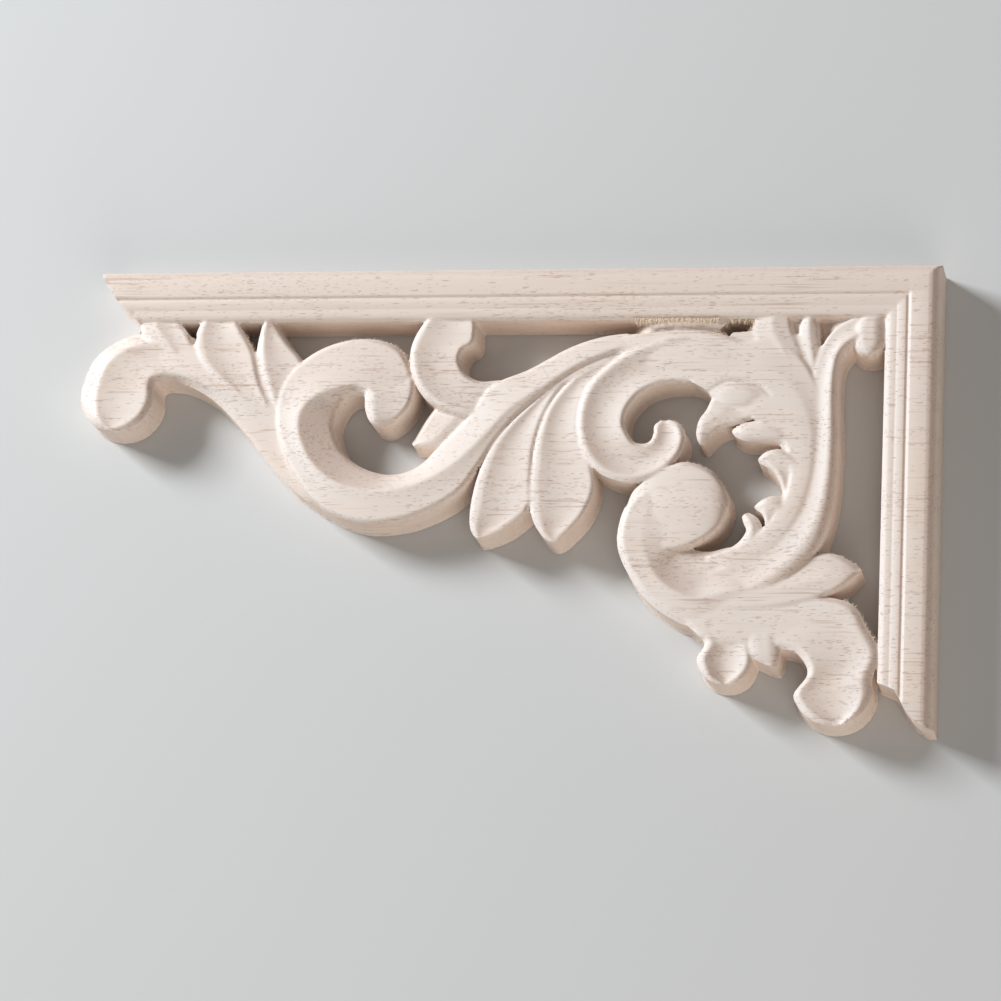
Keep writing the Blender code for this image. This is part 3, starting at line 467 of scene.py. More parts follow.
class OnlayFinish(bpy.types.PropertyGroup):
    """Colours of the bare wood, and of the painted highlight and shade on it."""

    pale: colour_setting("Pale wood", "Main colour of the bare wood", (0.79, 0.69, 0.615))
    warm: colour_setting("Warm wood", "Colour of the warmer growth bands", (0.75, 0.60, 0.50))
    pore: colour_setting("Pores", "Colour inside the open pores", (0.40, 0.235, 0.175))
    fibre: colour_setting("Torn fibres", "Colour of the torn fibres", (0.82, 0.70, 0.52))
    # Painted shade on the walls and low hollows; the same colour darkens some torn fibres
    wall: colour_setting("Painted shade and dark fibres", "Colour of the painted shade on walls and low hollows, and of darker torn fibres", (0.72, 0.545, 0.42))
    # Painted highlight on slopes facing left, towards the light
    painted_highlight: colour_setting(
        "Painted highlight", "Colour of the painted highlight on slopes facing the light", (0.80, 0.735, 0.69))
    # Painted shade on slopes facing right, away from the light
    painted_slope_shade: colour_setting(
        "Painted slope shade", "Colour of the painted shade on slopes facing away from the light", (0.64, 0.485, 0.40))
    rough: FloatProperty(
        name="Roughness", description="Roughness of the sanded face",
        default=0.6, min=0.0, max=1.0, subtype="FACTOR")


class OnlayStudio(bpy.types.PropertyGroup):
    """Floor, light and camera."""

    floor: colour_setting("Floor", "Colour of the studio floor", (0.62, 0.62, 0.61))
    key: FloatProperty(
        name="Key light", description="Power of the main soft light", default=17.2, min=0.0, unit="POWER")
    fill: FloatProperty(
        name="Fill light", description="Power of the fill light", default=4.0, min=0.0, unit="POWER")
    lens: FloatProperty(
        name="Lens", description="Focal length of the camera in millimetres", default=150.0, min=20.0)


def along(marks, at):
    """Read a table of (position, value) pairs at many positions."""
    table = np.array(marks)
    return np.interp(at, table[:, 0], table[:, 1])


class Relief:
    """A fine map of heights, in millimetres, over the plan of the onlay."""

    CELL = 0.1
    LOW = (-159.0, -85.0)
    HIGH = (8.0, 8.0)
    LAST_CELL = 1.001

    def __init__(self):
        self.nx = int(round((self.HIGH[0] - self.LOW[0]) / self.CELL))
        self.ny = int(round((self.HIGH[1] - self.LOW[1]) / self.CELL))
        self.height = np.zeros((self.ny, self.nx))
        self.x = self.LOW[0] + (np.arange(self.nx) + 0.5) * self.CELL
        self.y = self.LOW[1] + (np.arange(self.ny) + 0.5) * self.CELL

    def cells(self, x, y):
        """Find the cells that hold the given points."""
        ix = np.clip(((x - self.LOW[0]) / self.CELL).astype(int), 0, self.nx - 1)
        iy = np.clip(((y - self.LOW[1]) / self.CELL).astype(int), 0, self.ny - 1)
        return iy, ix

    def add_rails(self):
        """Lay both moulded rails, mitred at the corner."""
        from_top = RAIL_FACE - self.y[:, None] + np.zeros(self.nx)
        from_right = RAIL_FACE - self.x[None, :] + np.zeros((self.ny, 1))
        depth = np.minimum(from_top, from_right)
        share = np.clip(depth / RAIL_WIDTH, 0, 1)
        on_long = from_top <= from_right
        long_ok = self.x[None, :] >= LONG_END + along(LONG_END_SHAPE, share)
        short_ok = self.y[:, None] >= SHORT_END + along(SHORT_END_SHAPE, share)
        inside = (depth >= 0) & (depth <= RAIL_WIDTH) & np.where(on_long, long_ok, short_ok)
        self.height = np.where(inside, along(RAIL_PROFILE, depth), self.height)

    def add_strip(self, shape, stations, edge):
        """Lay one carved strip, keeping whatever already stands higher."""
        middle, drop_l, drop_r, fall_l, fall_r, dish_l, dish_r = shape
        table = np.array(stations)
        step = self.CELL * LAY_STEP
        run = max(np.hypot(*np.diff(table[:, i:i + 2], axis=0).T).sum() for i in (0, 2))
        wide = np.hypot(table[:, 2] - table[:, 0], table[:, 3] - table[:, 1]).max()
        rows = smooth_run(table, int(run * SPARE_ALONG / step) + 2)
        t = np.linspace(0.0, 1.0, int(wide * SPARE_ACROSS / step) + 2)[None, :]
        lx, ly, rx, ry, crest = (rows[:, i:i + 1] for i in range(5))
        depth = 1.0
        if table.shape[1] > 5:
            middle = rows[:, 5:6]
        if table.shape[1] > 6:
            depth = np.clip(rows[:, 6:7], 0, 1)
        width = np.hypot(rx - lx, ry - ly) + 1e-6
        soft = np.minimum(edge / width, WIDEST_EDGE)
        mid = np.clip(middle, soft + LEAST_SIDE, 1 - LEAST_SIDE - soft)
        left = np.clip((mid - t) / (mid - soft), 0, 1)
        right = np.clip((t - mid) / (1 - soft - mid), 0, 1)
        near_l = np.clip(1 - t / soft, 0, 1)
        near_r = np.clip(1 - (1 - t) / soft, 0, 1)
        deep = depth * np.clip(width / FULL_DISH_WIDTH, 0, 1)
        steep = np.clip(width / FULL_FALL_WIDTH, LEAST_FALL, 1)
        z = crest - depth * (drop_l * left + drop_r * right)
        z = z - deep * (dish_l * np.sin(math.pi * left) + dish_r * np.sin(math.pi * right))
        z = z - steep * (fall_l * near_l ** EDGE_CURVE + fall_r * near_r ** EDGE_CURVE)
        iy, ix = self.cells(lx + (rx - lx) * t, ly + (ry - ly) * t)
        np.maximum.at(self.height, (iy, ix), z)

    def cut_vein(self, points, width, depth):
        """Cut a soft groove along a run of points; depth fades at both ends."""
        path = smooth_run(np.array(points, dtype=float), VEIN_POINTS * len(points))
        fade = np.sin(np.linspace(0, math.pi, len(path))) ** VEIN_FADE
        reach = int(width * VEIN_REACH / self.CELL) + 1
        span = np.arange(-reach, reach + 1)
        near = np.zeros_like(self.height)
        iy, ix = self.cells(path[:, 0], path[:, 1])
        for dy in span:
            for dx in span:
                ty = np.clip(iy + dy, 0, self.ny - 1)
                tx = np.clip(ix + dx, 0, self.nx - 1)
                away = np.hypot(self.x[tx] - path[:, 0], self.y[ty] - path[:, 1])
                np.maximum.at(near, (ty, tx), fade * np.exp(-(away / width) ** 2))
        self.height = np.where(self.height > 0, self.height - depth * near, 0.0)

    def finish(self, softness, outline_softness):
        """Soften the creases and find the outline: 1 inside, 0 outside."""
        solid = (self.height > LOWEST_WOOD).astype(float)
        self.cover = blur(solid, outline_softness / self.CELL)
        weight = blur(solid, softness / self.CELL)
        soft = blur(self.height * solid, softness / self.CELL) / np.maximum(weight, 1e-6)
        self.height = spread(np.where(weight > KEPT_COVER, soft, 0.0), weight > TRUSTED_COVER)

    def read(self, field, x, y):
        """Read a map between its cells."""
        fx = np.clip((x - self.LOW[0]) / self.CELL - 0.5, 0, self.nx - self.LAST_CELL)
        fy = np.clip((y - self.LOW[1]) / self.CELL - 0.5, 0, self.ny - self.LAST_CELL)
        ix = fx.astype(int)
        iy = fy.astype(int)
        ax = fx - ix
        ay = fy - iy
        low = field[iy, ix] * (1 - ax) + field[iy, ix + 1] * ax
        high = field[iy + 1, ix] * (1 - ax) + field[iy + 1, ix + 1] * ax
        return low * (1 - ay) + high * ay


def round_off(stations, drop):
    """Add stations that finish a strip with a half disc across its last one."""
    last = np.array(stations[-1], dtype=float)
    before = np.array(stations[-2], dtype=float)
    centre = (last[0:2] + last[2:4]) / 2
    arm = (last[0:2] - last[2:4]) / 2
    ahead = np.array((-arm[1], arm[0]))
    if ahead @ (centre - (before[0:2] + before[2:4]) / 2) < 0:
        ahead = -ahead
    rows = [tuple(s) for s in stations]
    for angle in ROUND_ANGLES:
        c = math.cos(math.radians(angle))
        middle = centre + ahead * math.sin(math.radians(angle))
        crest = last[4] - drop * (1 - c) ** 2
        rows.append((*(middle + arm * c), *(middle - arm * c), crest, *last[5:]))
    return rows


def smooth_run(points, count):
    """Run a smooth curve through the points, each span given an equal share."""
    last = len(points) - 1
    u = np.linspace(0, last, count)
    i = np.minimum(u.astype(int), last - 1)
    t = (u - i)[:, None]
    p0 = points[np.maximum(i - 1, 0)]
    p1 = points[i]
    p2 = points[i + 1]
    p3 = points[np.minimum(i + 2, last)]
    return 0.5 * (2 * p1 + (p2 - p0) * t + (2 * p0 - 5 * p1 + 4 * p2 - p3) * t ** 2
                  + (3 * p1 - p0 - 3 * p2 + p3) * t ** 3)


def blur(field, sigma):
    """Soften a map with a round brush; sigma is in cells."""
    reach = max(int(sigma * BRUSH_REACH), 1)
    brush = np.exp(-0.5 * (np.arange(-reach, reach + 1) / max(sigma, 1e-3)) ** 2)
    brush /= brush.sum()
    for axis in (0, 1):
        margins = [(reach, reach) if a == axis else (0, 0) for a in (0, 1)]
        padded = np.pad(field, margins, mode="edge")
        total = np.zeros_like(field)
        for k, share in enumerate(brush):
            moved = padded[k:k + field.shape[0]] if axis == 0 else padded[:, k:k + field.shape[1]]
            total += share * moved
        field = total
    return field


def spread(field, known):
    """Carry the known heights a few cells outwards, so that an edge reads its own height."""
    field = np.where(known, field, 0.0)
    for _ in range(SPREAD_ROUNDS):
        total = np.zeros_like(field)
        count = np.zeros_like(field)
        for dy, dx in ((0, 1), (0, -1), (1, 0), (-1, 0)):
            total += np.roll(field * known, (dy, dx), axis=(0, 1))
            count += np.roll(known.astype(float), (dy, dx), axis=(0, 1))
        fresh = (~known) & (count > 0)
        field = np.where(fresh, total / np.maximum(count, 1), field)
        known = known | fresh
    return field


def grid_lines(low, high, step):
    """Lines of the carving grid: even in the scrollwork, set by the moulding in a rail."""
    inner = RAIL_FACE - RAIL_WIDTH
    even = np.linspace(low, inner, int(math.ceil((inner - low) / step)) + 1)[:-1]
    rail = {RAIL_FACE, high}
    for depth, _ in RAIL_PROFILE:
        crease = RAIL_FACE - depth
        rail.update((crease - RAIL_SPLIT, crease, crease + RAIL_SPLIT))
    rail = sorted(r for r in rail if r >= inner - TINY)
    spaced = [rail[0]]
    for line in rail[1:]:
        if line - spaced[-1] > RAIL_SPLIT * LEAST_SPLIT:
            spaced.append(line)
    return np.concatenate([even, spaced])


def snap_to_outline(relief, gx, gy):
    """Move the grid points nearest to the outline onto it, and sort all points."""
    x, y = np.meshgrid(gx, gy)
    inside = relief.read(relief.cover, x, y) > OUTLINE
    best = np.full(x.shape, FURTHEST_SNAP)
    sx = x.copy()
    sy = y.copy()
    on_edge = np.zeros(x.shape, bool)
    for axis in (0, 1):
        a = (slice(None, -1), slice(None)) if axis == 0 else (slice(None), slice(None, -1))
        b = (slice(1, None), slice(None)) if axis == 0 else (slice(None), slice(1, None))
        crossing = inside[a] != inside[b]
        low = np.zeros(crossing.shape)
        high = np.ones(crossing.shape)
        for _ in range(HALVINGS):
            mid = (low + high) / 2
            mx = x[a] + (x[b] - x[a]) * mid
            my = y[a] + (y[b] - y[a]) * mid
            same = (relief.read(relief.cover, mx, my) > OUTLINE) == inside[a]
            low = np.where(same, mid, low)
            high = np.where(same, high, mid)
        share = (low + high) / 2
        px = x[a] + (x[b] - x[a]) * share
        py = y[a] + (y[b] - y[a]) * share
        for end, away in ((a, share), (b, 1 - share)):
            better = crossing & (away <= best[end])
            best[end] = np.where(better, away, best[end])
            sx[end] = np.where(better, px, sx[end])
            sy[end] = np.where(better, py, sy[end])
            on_edge[end] |= better
    return sx, sy, inside, on_edge


def carve_mesh(relief, sizes):
    """Turn the relief into one closed mesh with walls and a flat back."""
    gx, gy = (grid_lines(low + GRID_MARGIN, high - GRID_MARGIN, sizes.step / MM)
              for low, high in zip(relief.LOW, relief.HIGH))
    sx, sy, inside, on_edge = snap_to_outline(relief, gx, gy)
    good = inside | on_edge
    sx = np.clip(sx, LOW_X, RAIL_FACE)
    sy = np.clip(sy, SHORT_END, RAIL_FACE)
    z = relief.read(relief.height, sx, sy)
    cx = (sx[:-1, :-1] + sx[1:, 1:]) / 2
    cy = (sy[:-1, :-1] + sy[1:, 1:]) / 2
    centre_in = relief.read(relief.cover, cx, cy) > OUTLINE
    corners = good[:-1, :-1].astype(int) + good[:-1, 1:] + good[1:, :-1] + good[1:, 1:]
    keep = ((corners == 4) & centre_in) | (corners == 3)
    bm = bmesh.new()
    nx = len(gx)
    ny = len(gy)
    bmesh.ops.create_grid(bm, x_segments=nx - 1, y_segments=ny - 1, size=1.0)
    bm.verts.index_update()
    outside = bm.verts.layers.int.new("outside")
    order = np.array([v.co[:2] for v in bm.verts])
    col = np.rint((order[:, 0] + 1) / 2 * (nx - 1)).astype(int)
    row = np.rint((order[:, 1] + 1) / 2 * (ny - 1)).astype(int)
    lost = []
    for face in bm.faces:
        r = min(row[v.index] for v in face.verts)
        c = min(col[v.index] for v in face.verts)
        if not keep[r, c]:
            lost.append(face)
    place = np.stack([sx[row, col], sy[row, col], z[row, col]], axis=1) * MM
    bad = ~good[row, col]
    for vert, co, flag in zip(bm.verts, place.tolist(), bad.tolist()):
        vert.co = co
        vert[outside] = int(flag)
    bmesh.ops.delete(bm, geom=lost, context="FACES")
    halves = []
    for face in bm.faces:
        loops = list(face.loops)
        for k, loop in enumerate(loops):
            if loop.vert[outside]:
                halves.append((face, loops[k - 1].vert, loops[(k + 1) % 4].vert))
                break
    for face, first, second in halves:
        bmesh.utils.face_split(face, first, second)
    bmesh.ops.delete(bm, geom=[v for v in bm.verts if v[outside]], context="VERTS")
    bmesh.ops.delete(bm, geom=[v for v in bm.verts if not v.link_faces], context="VERTS")
    open_pinches(bm)
    close_walls(bm, relief, sizes)
    return bm


def open_pinches(bm):
    """Take away the odd face that meets the rest only at a point."""
    for _ in range(PINCH_ROUNDS):
        pinched = [v for v in bm.verts
                   if sum(1 for e in v.link_edges if len(e.link_faces) == 1) > 2]
        if not pinched:
            return
        lost = {min(v.link_faces, key=lambda f: f.calc_area()) for v in pinched}
        bmesh.ops.delete(bm, geom=list(lost), context="FACES")
        bmesh.ops.delete(bm, geom=[v for v in bm.verts if not v.link_faces], context="VERTS")


def wall_ring(bm, edges, relief, out, drop_to):
    """Extrude a ring of edges, stand it off from the rim by a distance and set its height."""
    home = bm.verts.layers.float_vector["home"]
    made = bmesh.ops.extrude_edge_only(bm, edges=edges)["geom"]
    verts = [g for g in made if isinstance(g, bmesh.types.BMVert)]
    fresh = set(verts)
    x, y, _ = np.array([v[home][:] for v in verts]).T / MM
    h = SLOPE_REACH
    gx = relief.read(relief.cover, x + h, y) - relief.read(relief.cover, x - h, y)
    gy = relief.read(relief.cover, x, y + h) - relief.read(relief.cover, x, y - h)
    size = np.hypot(gx, gy) + 1e-9
    near = RAIL_FACE - FACE_REACH
    off_x = np.where(x > near, RAIL_FACE, np.clip(x - gx / size * out, LOW_X, RAIL_FACE))
    off_y = np.where(y > near, RAIL_FACE, np.clip(y - gy / size * out, SHORT_END, RAIL_FACE))
    for vert, across, up in zip(verts, off_x.tolist(), off_y.tolist()):
        vert.co = (across * MM, up * MM, drop_to)
    return [g for g in made if isinstance(g, bmesh.types.BMEdge) and set(g.verts) <= fresh]


def close_walls(bm, relief, sizes):
    """Give the carved skin its walls and its flat back."""
    home = bm.verts.layers.float_vector.new("home")
    for vert in bm.verts:
        vert[home] = vert.co
    rim = [e for e in bm.edges if len(e.link_faces) == 1]
    ring = wall_ring(bm, rim, relief, 0.0, sizes.lip_height)
    ring = wall_ring(bm, ring, relief, sizes.lip / MM, sizes.lip_height * LIP_SHOULDER)
    ring = wall_ring(bm, ring, relief, 0.0, 0.0)
    bmesh.ops.triangle_fill(bm, edges=ring, use_beauty=False, use_dissolve=False)
    bmesh.ops.recalc_face_normals(bm, faces=bm.faces[:])


# What a node group reads that works from the place on the piece
PLACE = ("Position", "NodeSocketVector", None)


def new_group(name, takes, gives):
    """Start a node group; return its tree, the sockets it reads and the sockets it fills."""
    tree = bpy.data.node_groups.new(name, "ShaderNodeTree")
    for label, kind, value in takes:
        socket = tree.interface.new_socket(name=label, in_out="INPUT", socket_type=kind)
        if value is not None:
            socket.default_value = value
    for label in gives:
        tree.interface.new_socket(name=label, in_out="OUTPUT", socket_type="NodeSocketFloat")
    return tree, tree.nodes.new("NodeGroupInput").outputs, tree.nodes.new("NodeGroupOutput").inputs


def feed(tree, socket, value):
    """Give a socket a value, or link it to the output that holds one."""
    if isinstance(value, bpy.types.NodeSocket):
        tree.links.new(value, socket)
    else:
        socket.default_value = value


def stretch(tree, place, long, across):
    """Scale a position so that one unit is a length along the board and a width across it."""
    node = tree.nodes.new("ShaderNodeVectorMath")
    node.operation = "MULTIPLY"
    feed(tree, node.inputs[0], place)
    feed(tree, node.inputs[1], (1 / long, 1 / across, 1 / across))
    return node.outputs[0]


def remap(tree, source, low, high, to_low=0.0, to_high=1.0):
    """Map a range of values smoothly to another."""
    node = tree.nodes.new("ShaderNodeMapRange")
    node.interpolation_type = "SMOOTHSTEP"
    values = {"Value": source, "From Min": low, "From Max": high, "To Min": to_low, "To Max": to_high}
    for name, value in values.items():
        feed(tree, node.inputs[name], value)
    return node.outputs["Result"]


def combine(tree, first, second, operation="MULTIPLY"):
    """Join two values with one operation."""
    node = tree.nodes.new("ShaderNodeMath")
    node.operation = operation
    feed(tree, node.inputs[0], first)
    feed(tree, node.inputs[1], second)
    return node.outputs[0]


def cloud(tree, place, long, across, detail, rough=0.5, bend=0.0):
    """A soft random field, stretched along the board."""
    node = tree.nodes.new("ShaderNodeTexNoise")
    feed(tree, node.inputs["Vector"], stretch(tree, place, long, across))
    for name, value in (("Scale", 1.0), ("Detail", detail), ("Roughness", rough), ("Distortion", bend)):
        feed(tree, node.inputs[name], value)
    return node.outputs["Fac"]


def pore_group():
    """Open pores: short dashes along the board, thick in some growth bands and thin in others."""
    tree, start, end = new_group("open_pores", (PLACE, ("Amount", "NodeSocketFloat", 0.5)), ("Pore",))
    found = None
    for long, thin, share in PORE_SIZES:
        cells = tree.nodes.new("ShaderNodeTexVoronoi")
        feed(tree, cells.inputs["Vector"], stretch(tree, start["Position"], long, thin))
        feed(tree, cells.inputs["Scale"], 1.0)
        feed(tree, cells.inputs["Randomness"], 1.0)
        dash = remap(tree, cells.outputs["Distance"], share, share * PORE_CORE)
        split = tree.nodes.new("ShaderNodeSeparateColor")
        feed(tree, split.inputs["Color"], cells.outputs["Color"])
        bands = cloud(tree, start["Position"], *PORE_BANDS)
        chance = combine(tree, remap(tree, bands, *PORE_CHANCE), start["Amount"])
        keep = combine(tree, split.outputs["Red"], chance, "LESS_THAN")
        darkness = remap(tree, split.outputs["Green"], *PORE_DARKNESS)
        dash = combine(tree, combine(tree, dash, keep), darkness)
        found = dash if found is None else combine(tree, found, dash, "MAXIMUM")
    feed(tree, end["Pore"], found)
    return tree


def grain_group():
    """Growth bands, fine streaks and dark lines along the board."""
    tree, start, end = new_group("long_grain", (PLACE,), ("Band", "Streak", "Line"))
    place = start["Position"]
    feed(tree, end["Band"], remap(tree, cloud(tree, place, *GROWTH), *GROWTH_RANGE))
    feed(tree, end["Streak"], remap(tree, cloud(tree, place, *STREAKS), *STREAK_RANGE))
    lines = remap(tree, cloud(tree, place, *LINES), *LINE_RANGE)
    where = remap(tree, cloud(tree, place, *LINE_PLACES), *LINE_PLACE_RANGE)
    feed(tree, end["Line"], combine(tree, lines, where))
    return tree


def light_side_group():
    """Masks of the painted highlight on slopes facing the light and of the painted shade on slopes facing
    away.
    """
    tree, start, end = new_group("nap_side", (("Side", "NodeSocketFloat", 0.0),), ("Lit", "Clean"))
    feed(tree, end["Lit"], remap(tree, start["Side"], 0.0, 1.0))
    feed(tree, end["Clean"], remap(tree, start["Side"], 0.0, -1.0))
    return tree


def place_group():
    """Masks by place: painted shade on the walls and low hollows but not on the carved face or the lip at
    their foot, and the two rails.
    """
    tree, start, end = new_group("wall_and_rail", (PLACE,), ("Wall", "Rail"))
    parts = tree.nodes.new("ShaderNodeSeparateXYZ")
    feed(tree, parts.inputs[0], start["Position"])
    below = remap(tree, parts.outputs["Z"], *WALL_SHADE_TOP)
    above = remap(tree, parts.outputs["Z"], *WALL_SHADE_FOOT)
    feed(tree, end["Wall"], combine(tree, below, above))
    nearest = combine(tree, parts.outputs["X"], parts.outputs["Y"], "MAXIMUM")
    feed(tree, end["Rail"], remap(tree, nearest, *RAIL_START))
    return tree


def nap_group():
    """Fine raised nap that a cutter leaves on pale wood."""
    tree, start, end = new_group("cutter_nap", (PLACE,), ("Nap",))
    fine = combine(tree, cloud(tree, start["Position"], *FINE_NAP), FINE_NAP_SHARE)
    soft = combine(tree, cloud(tree, start["Position"], *SOFT_NAP), SOFT_NAP_SHARE)
    feed(tree, end["Nap"], combine(tree, fine, soft, "ADD"))
    return tree


def use_group(tree, name, maker, **values):
    """Place a node group in a material, making it if it isn't there yet; return its outputs."""
    node = tree.nodes.new("ShaderNodeGroup")
    node.node_tree = bpy.data.node_groups.get(name) or maker()
    for socket, value in values.items():
        feed(tree, node.inputs[socket], value)
    return node.outputs


def mix_colour(tree, share, first, second):
    """Blend two colours by a share."""
    node = tree.nodes.new("ShaderNodeMix")
    node.data_type = "RGBA"
    feed(tree, node.inputs["Factor"], share)
    for name, value in (("A", first), ("B", second)):
        feed(tree, node.inputs[name], value if isinstance(value, bpy.types.NodeSocket) else (*value, 1.0))
    return node.outputs["Result"]


def new_material(name, shine):
    """Start a material; return it, its tree, its shader and the place on the piece."""
    material = bpy.data.materials.new(name)
    material.use_nodes = True
    tree = material.node_tree
    shader = tree.nodes["Principled BSDF"]
    feed(tree, shader.inputs["Specular IOR Level"], shine)
    return material, tree, shader, tree.nodes.new("ShaderNodeTexCoord").outputs["Object"]


def bare_wood(name, finish):
    """Pale, bare, fine-sanded wood with open pores along the board, and painted highlight and shade on its
    slopes and walls.
    """
    material, tree, shader, place = new_material(name, WOOD_SHINE)
    grain = use_group(tree, "long_grain", grain_group, Position=place)
    pore = use_group(tree, "open_pores", pore_group, Position=place, Amount=PORE_AMOUNT)["Pore"]
    nap = use_group(tree, "cutter_nap", nap_group, Position=place)["Nap"]
    where = use_group(tree, "wall_and_rail", place_group, Position=place)
    # Facing of each point, for the painted highlight and shade on slopes
    mark = tree.nodes.new("ShaderNodeAttribute")
    mark.attribute_name = PAINTED_LIGHT_MARK
    side = use_group(tree, "nap_side", light_side_group, Side=mark.outputs["Fac"])
    colour = finish.pale
    # The slope masks paint highlight and shade by facing; the wall mask paints shade on walls and low
    # hollows
    for mask, share, tone in (
            (grain["Band"], BAND_SHARE, finish.warm),
            (grain["Streak"], STREAK_SHARE, [min(c * LIGHT_STREAK, 1.0) for c in finish.pale]),
            (where["Rail"], RAIL_SHARE, finish.warm),
            (side["Lit"], HIGHLIGHT_SHARE, finish.painted_highlight),
            (side["Clean"], SLOPE_SHADE_SHARE, finish.painted_slope_shade),
            (grain["Line"], LINE_SHARE, finish.pore),
            (pore, PORE_SHARE, finish.pore),
            (where["Wall"], WALL_SHADE_SHARE, finish.wall)):
        colour = mix_colour(tree, combine(tree, mask, share), colour, tone)
    feed(tree, shader.inputs["Base Color"], colour)
    spread_to = [finish.rough + change for change in ROUGH_SPREAD]
    feed(tree, shader.inputs["Roughness"], remap(tree, nap, *NAP_RANGE, *spread_to))
    bump = tree.nodes.new("ShaderNodeBump")
    feed(tree, bump.inputs["Strength"], BUMP_STRENGTH)
    feed(tree, bump.inputs["Distance"], BUMP_HEIGHT)
    feed(tree, bump.inputs["Height"], combine(tree, combine(tree, nap, NAP_HEIGHT), pore, "SUBTRACT"))
    feed(tree, shader.inputs["Normal"], bump.outputs["Normal"])
    return material


def fibre_wood(name, finish):
    """Pale yellow wood of the torn fibres, darker and lighter from fibre to fibre."""
    material, tree, shader, place = new_material(name, FIBRE_SHINE)
    grain = use_group(tree, "long_grain", grain_group, Position=place)
    patch = remap(tree, cloud(tree, place, *FIBRE_PATCHES), *FIBRE_PATCH_RANGE)
    colour = mix_colour(tree, grain["Band"], finish.fibre, finish.pale)
    colour = mix_colour(tree, combine(tree, patch, FIBRE_PATCH_SHARE), colour, finish.wall)
    feed(tree, shader.inputs["Base Color"], colour)
    feed(tree, shader.inputs["Roughness"], finish.rough)
    return material


def mesh_piece(name, bm, material, angle):
    """Make a finished object at the origin from a working mesh."""
    mesh = bpy.data.meshes.new(name)
    bm.to_mesh(mesh)
    bm.free()
    mesh.materials.append(material)
    mesh.shade_smooth()
    mesh.set_sharp_from_angle(angle=angle)
    piece = bpy.data.objects.new(name, mesh)
    bpy.context.scene.collection.objects.link(piece)
    return piece


@functools.lru_cache(maxsize=1)
def make_relief(soft_edge, cutter):
    """Work out the carving's heights from the rails, strips and veins; sizes in millimetres."""
    relief = Relief()
    relief.add_rails()
    for name, (shape, stations) in STRIPS.items():
        if name in ROUND_ENDS:
            stations = round_off(stations, ROUND_ENDS[name])
        relief.add_strip(shape, stations, WIDE_EDGES.get(name, soft_edge))
    for points, width, depth in VEINS:
        relief.cut_vein(points, width, depth)
    relief.finish(cutter, OUTLINE_SOFTNESS)
    return relief


def mark_light_side(mesh):
    """Write on each point of the carving how far it faces the light, for the painted highlight and shade:
    from -1 to 1.
    """
    normals = np.zeros(len(mesh.vertices) * 3)
    mesh.vertices.foreach_get("normal", normals)
    x, y, z = normals.reshape(-1, 3).T
    fade = np.clip((z - PAINTED_LIGHT_FADE[0]) / (PAINTED_LIGHT_FADE[1] - PAINTED_LIGHT_FADE[0]), 0, 1)
    side = np.clip((x * PAINTED_LIGHT_FROM[0] + y * PAINTED_LIGHT_FROM[1]) / PAINTED_LIGHT_SLOPE, -1, 1) * fade
    mesh.attributes.new(PAINTED_LIGHT_MARK, "FLOAT", "POINT").data.foreach_set("value", side.astype(np.float32))


class ONLAY_OT_carving(bpy.types.Operator):
    """Carve the onlay: rails, scrolls and leaves in one piece of bare wood"""

    bl_idname = "onlay.carving"
    bl_label = "Carving"

    def execute(self, context):
        sizes = context.scene.onlay_sizes
        relief = make_relief(sizes.soft_edge / MM, sizes.cutter / MM)
        bm = carve_mesh(relief, sizes)
        open_edges = sum(1 for e in bm.edges if len(e.link_faces) != 2)
        if open_edges:
            raise RuntimeError(f"the carving has {open_edges} open edges")
        material = bare_wood("bare_pale_wood", context.scene.onlay_finish)
        piece = mesh_piece("carved_onlay", bm, material, CARVING_ANGLE)
        mark_light_side(piece.data)
        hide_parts(NODE)
        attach(piece, BODY)
        return {"FINISHED"}


class ONLAY_OT_fibres(bpy.types.Operator):
    """Leave torn fibres along the edges where the cutter lifted the grain"""

    bl_idname = "onlay.fibres"
    bl_label = "Torn fibres"

    def execute(self, context):
        sizes = context.scene.onlay_sizes
        rng = np.random.default_rng(sizes.fibre_seed)
        relief = make_relief(sizes.soft_edge / MM, sizes.cutter / MM)
        plans = []
        for points, lean, count, share in TORN_EDGES:
            path = smooth_run(np.array(points), PATH_POINTS)
            spots = path[rng.integers(0, PATH_POINTS, count * TRIES)]
            spots = spots + rng.normal(0, STRAY, spots.shape)
            cover = relief.read(relief.cover, spots[:, 0], spots[:, 1])
            on_rim = spots[(cover > RIM_COVER[0]) & (cover < RIM_COVER[1])][:count]
            for spot in on_rim:
                top = float(relief.read(relief.height, *spot)) - FIBRE_ROOT - rng.exponential(FIBRE_DEPTH)
                plans.append(plan_fibre((*spot, top), lean, rng, sizes.fibre * share, EDGE_STRAY))
        (first, last), count, share = COMB
        for k in range(count):
            place = np.array(first) + (np.array(last) - np.array(first)) * k / count
            place[1:] += rng.normal(0, COMB_SCATTER, 2)
            plans.append(plan_fibre(place.tolist(), COMB_LEAN, rng, sizes.fibre * share, COMB_STRAY))
        bm = bmesh.new()
        grow_fibres(bm, plans)
        bmesh.ops.recalc_face_normals(bm, faces=bm.faces[:])
        material = fibre_wood("torn_fibre_wood", context.scene.onlay_finish)
        piece = mesh_piece("torn_fibres", bm, material, FIBRE_ANGLE)
        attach(piece, BODY)
        return {"FINISHED"}


def plan_fibre(place, lean, rng, longest, stray):
    """Choose how one fibre bends; stray is how far it turns away from its lean."""
    length = longest * rng.uniform(*FIBRE_SHARES)
    thick = rng.uniform(*FIBRE_RADII)
    rise = rng.uniform(*FIBRE_RISE) * stray
    heading = Vector((lean[0] + rng.normal(0, stray), lean[1] + rng.normal(0, stray), rise))
    heading.normalize()
    curl = Vector(rng.normal(0, stray, 3).tolist())
    return Vector(place) * MM, heading * length, curl * length * FIBRE_CURL, thick


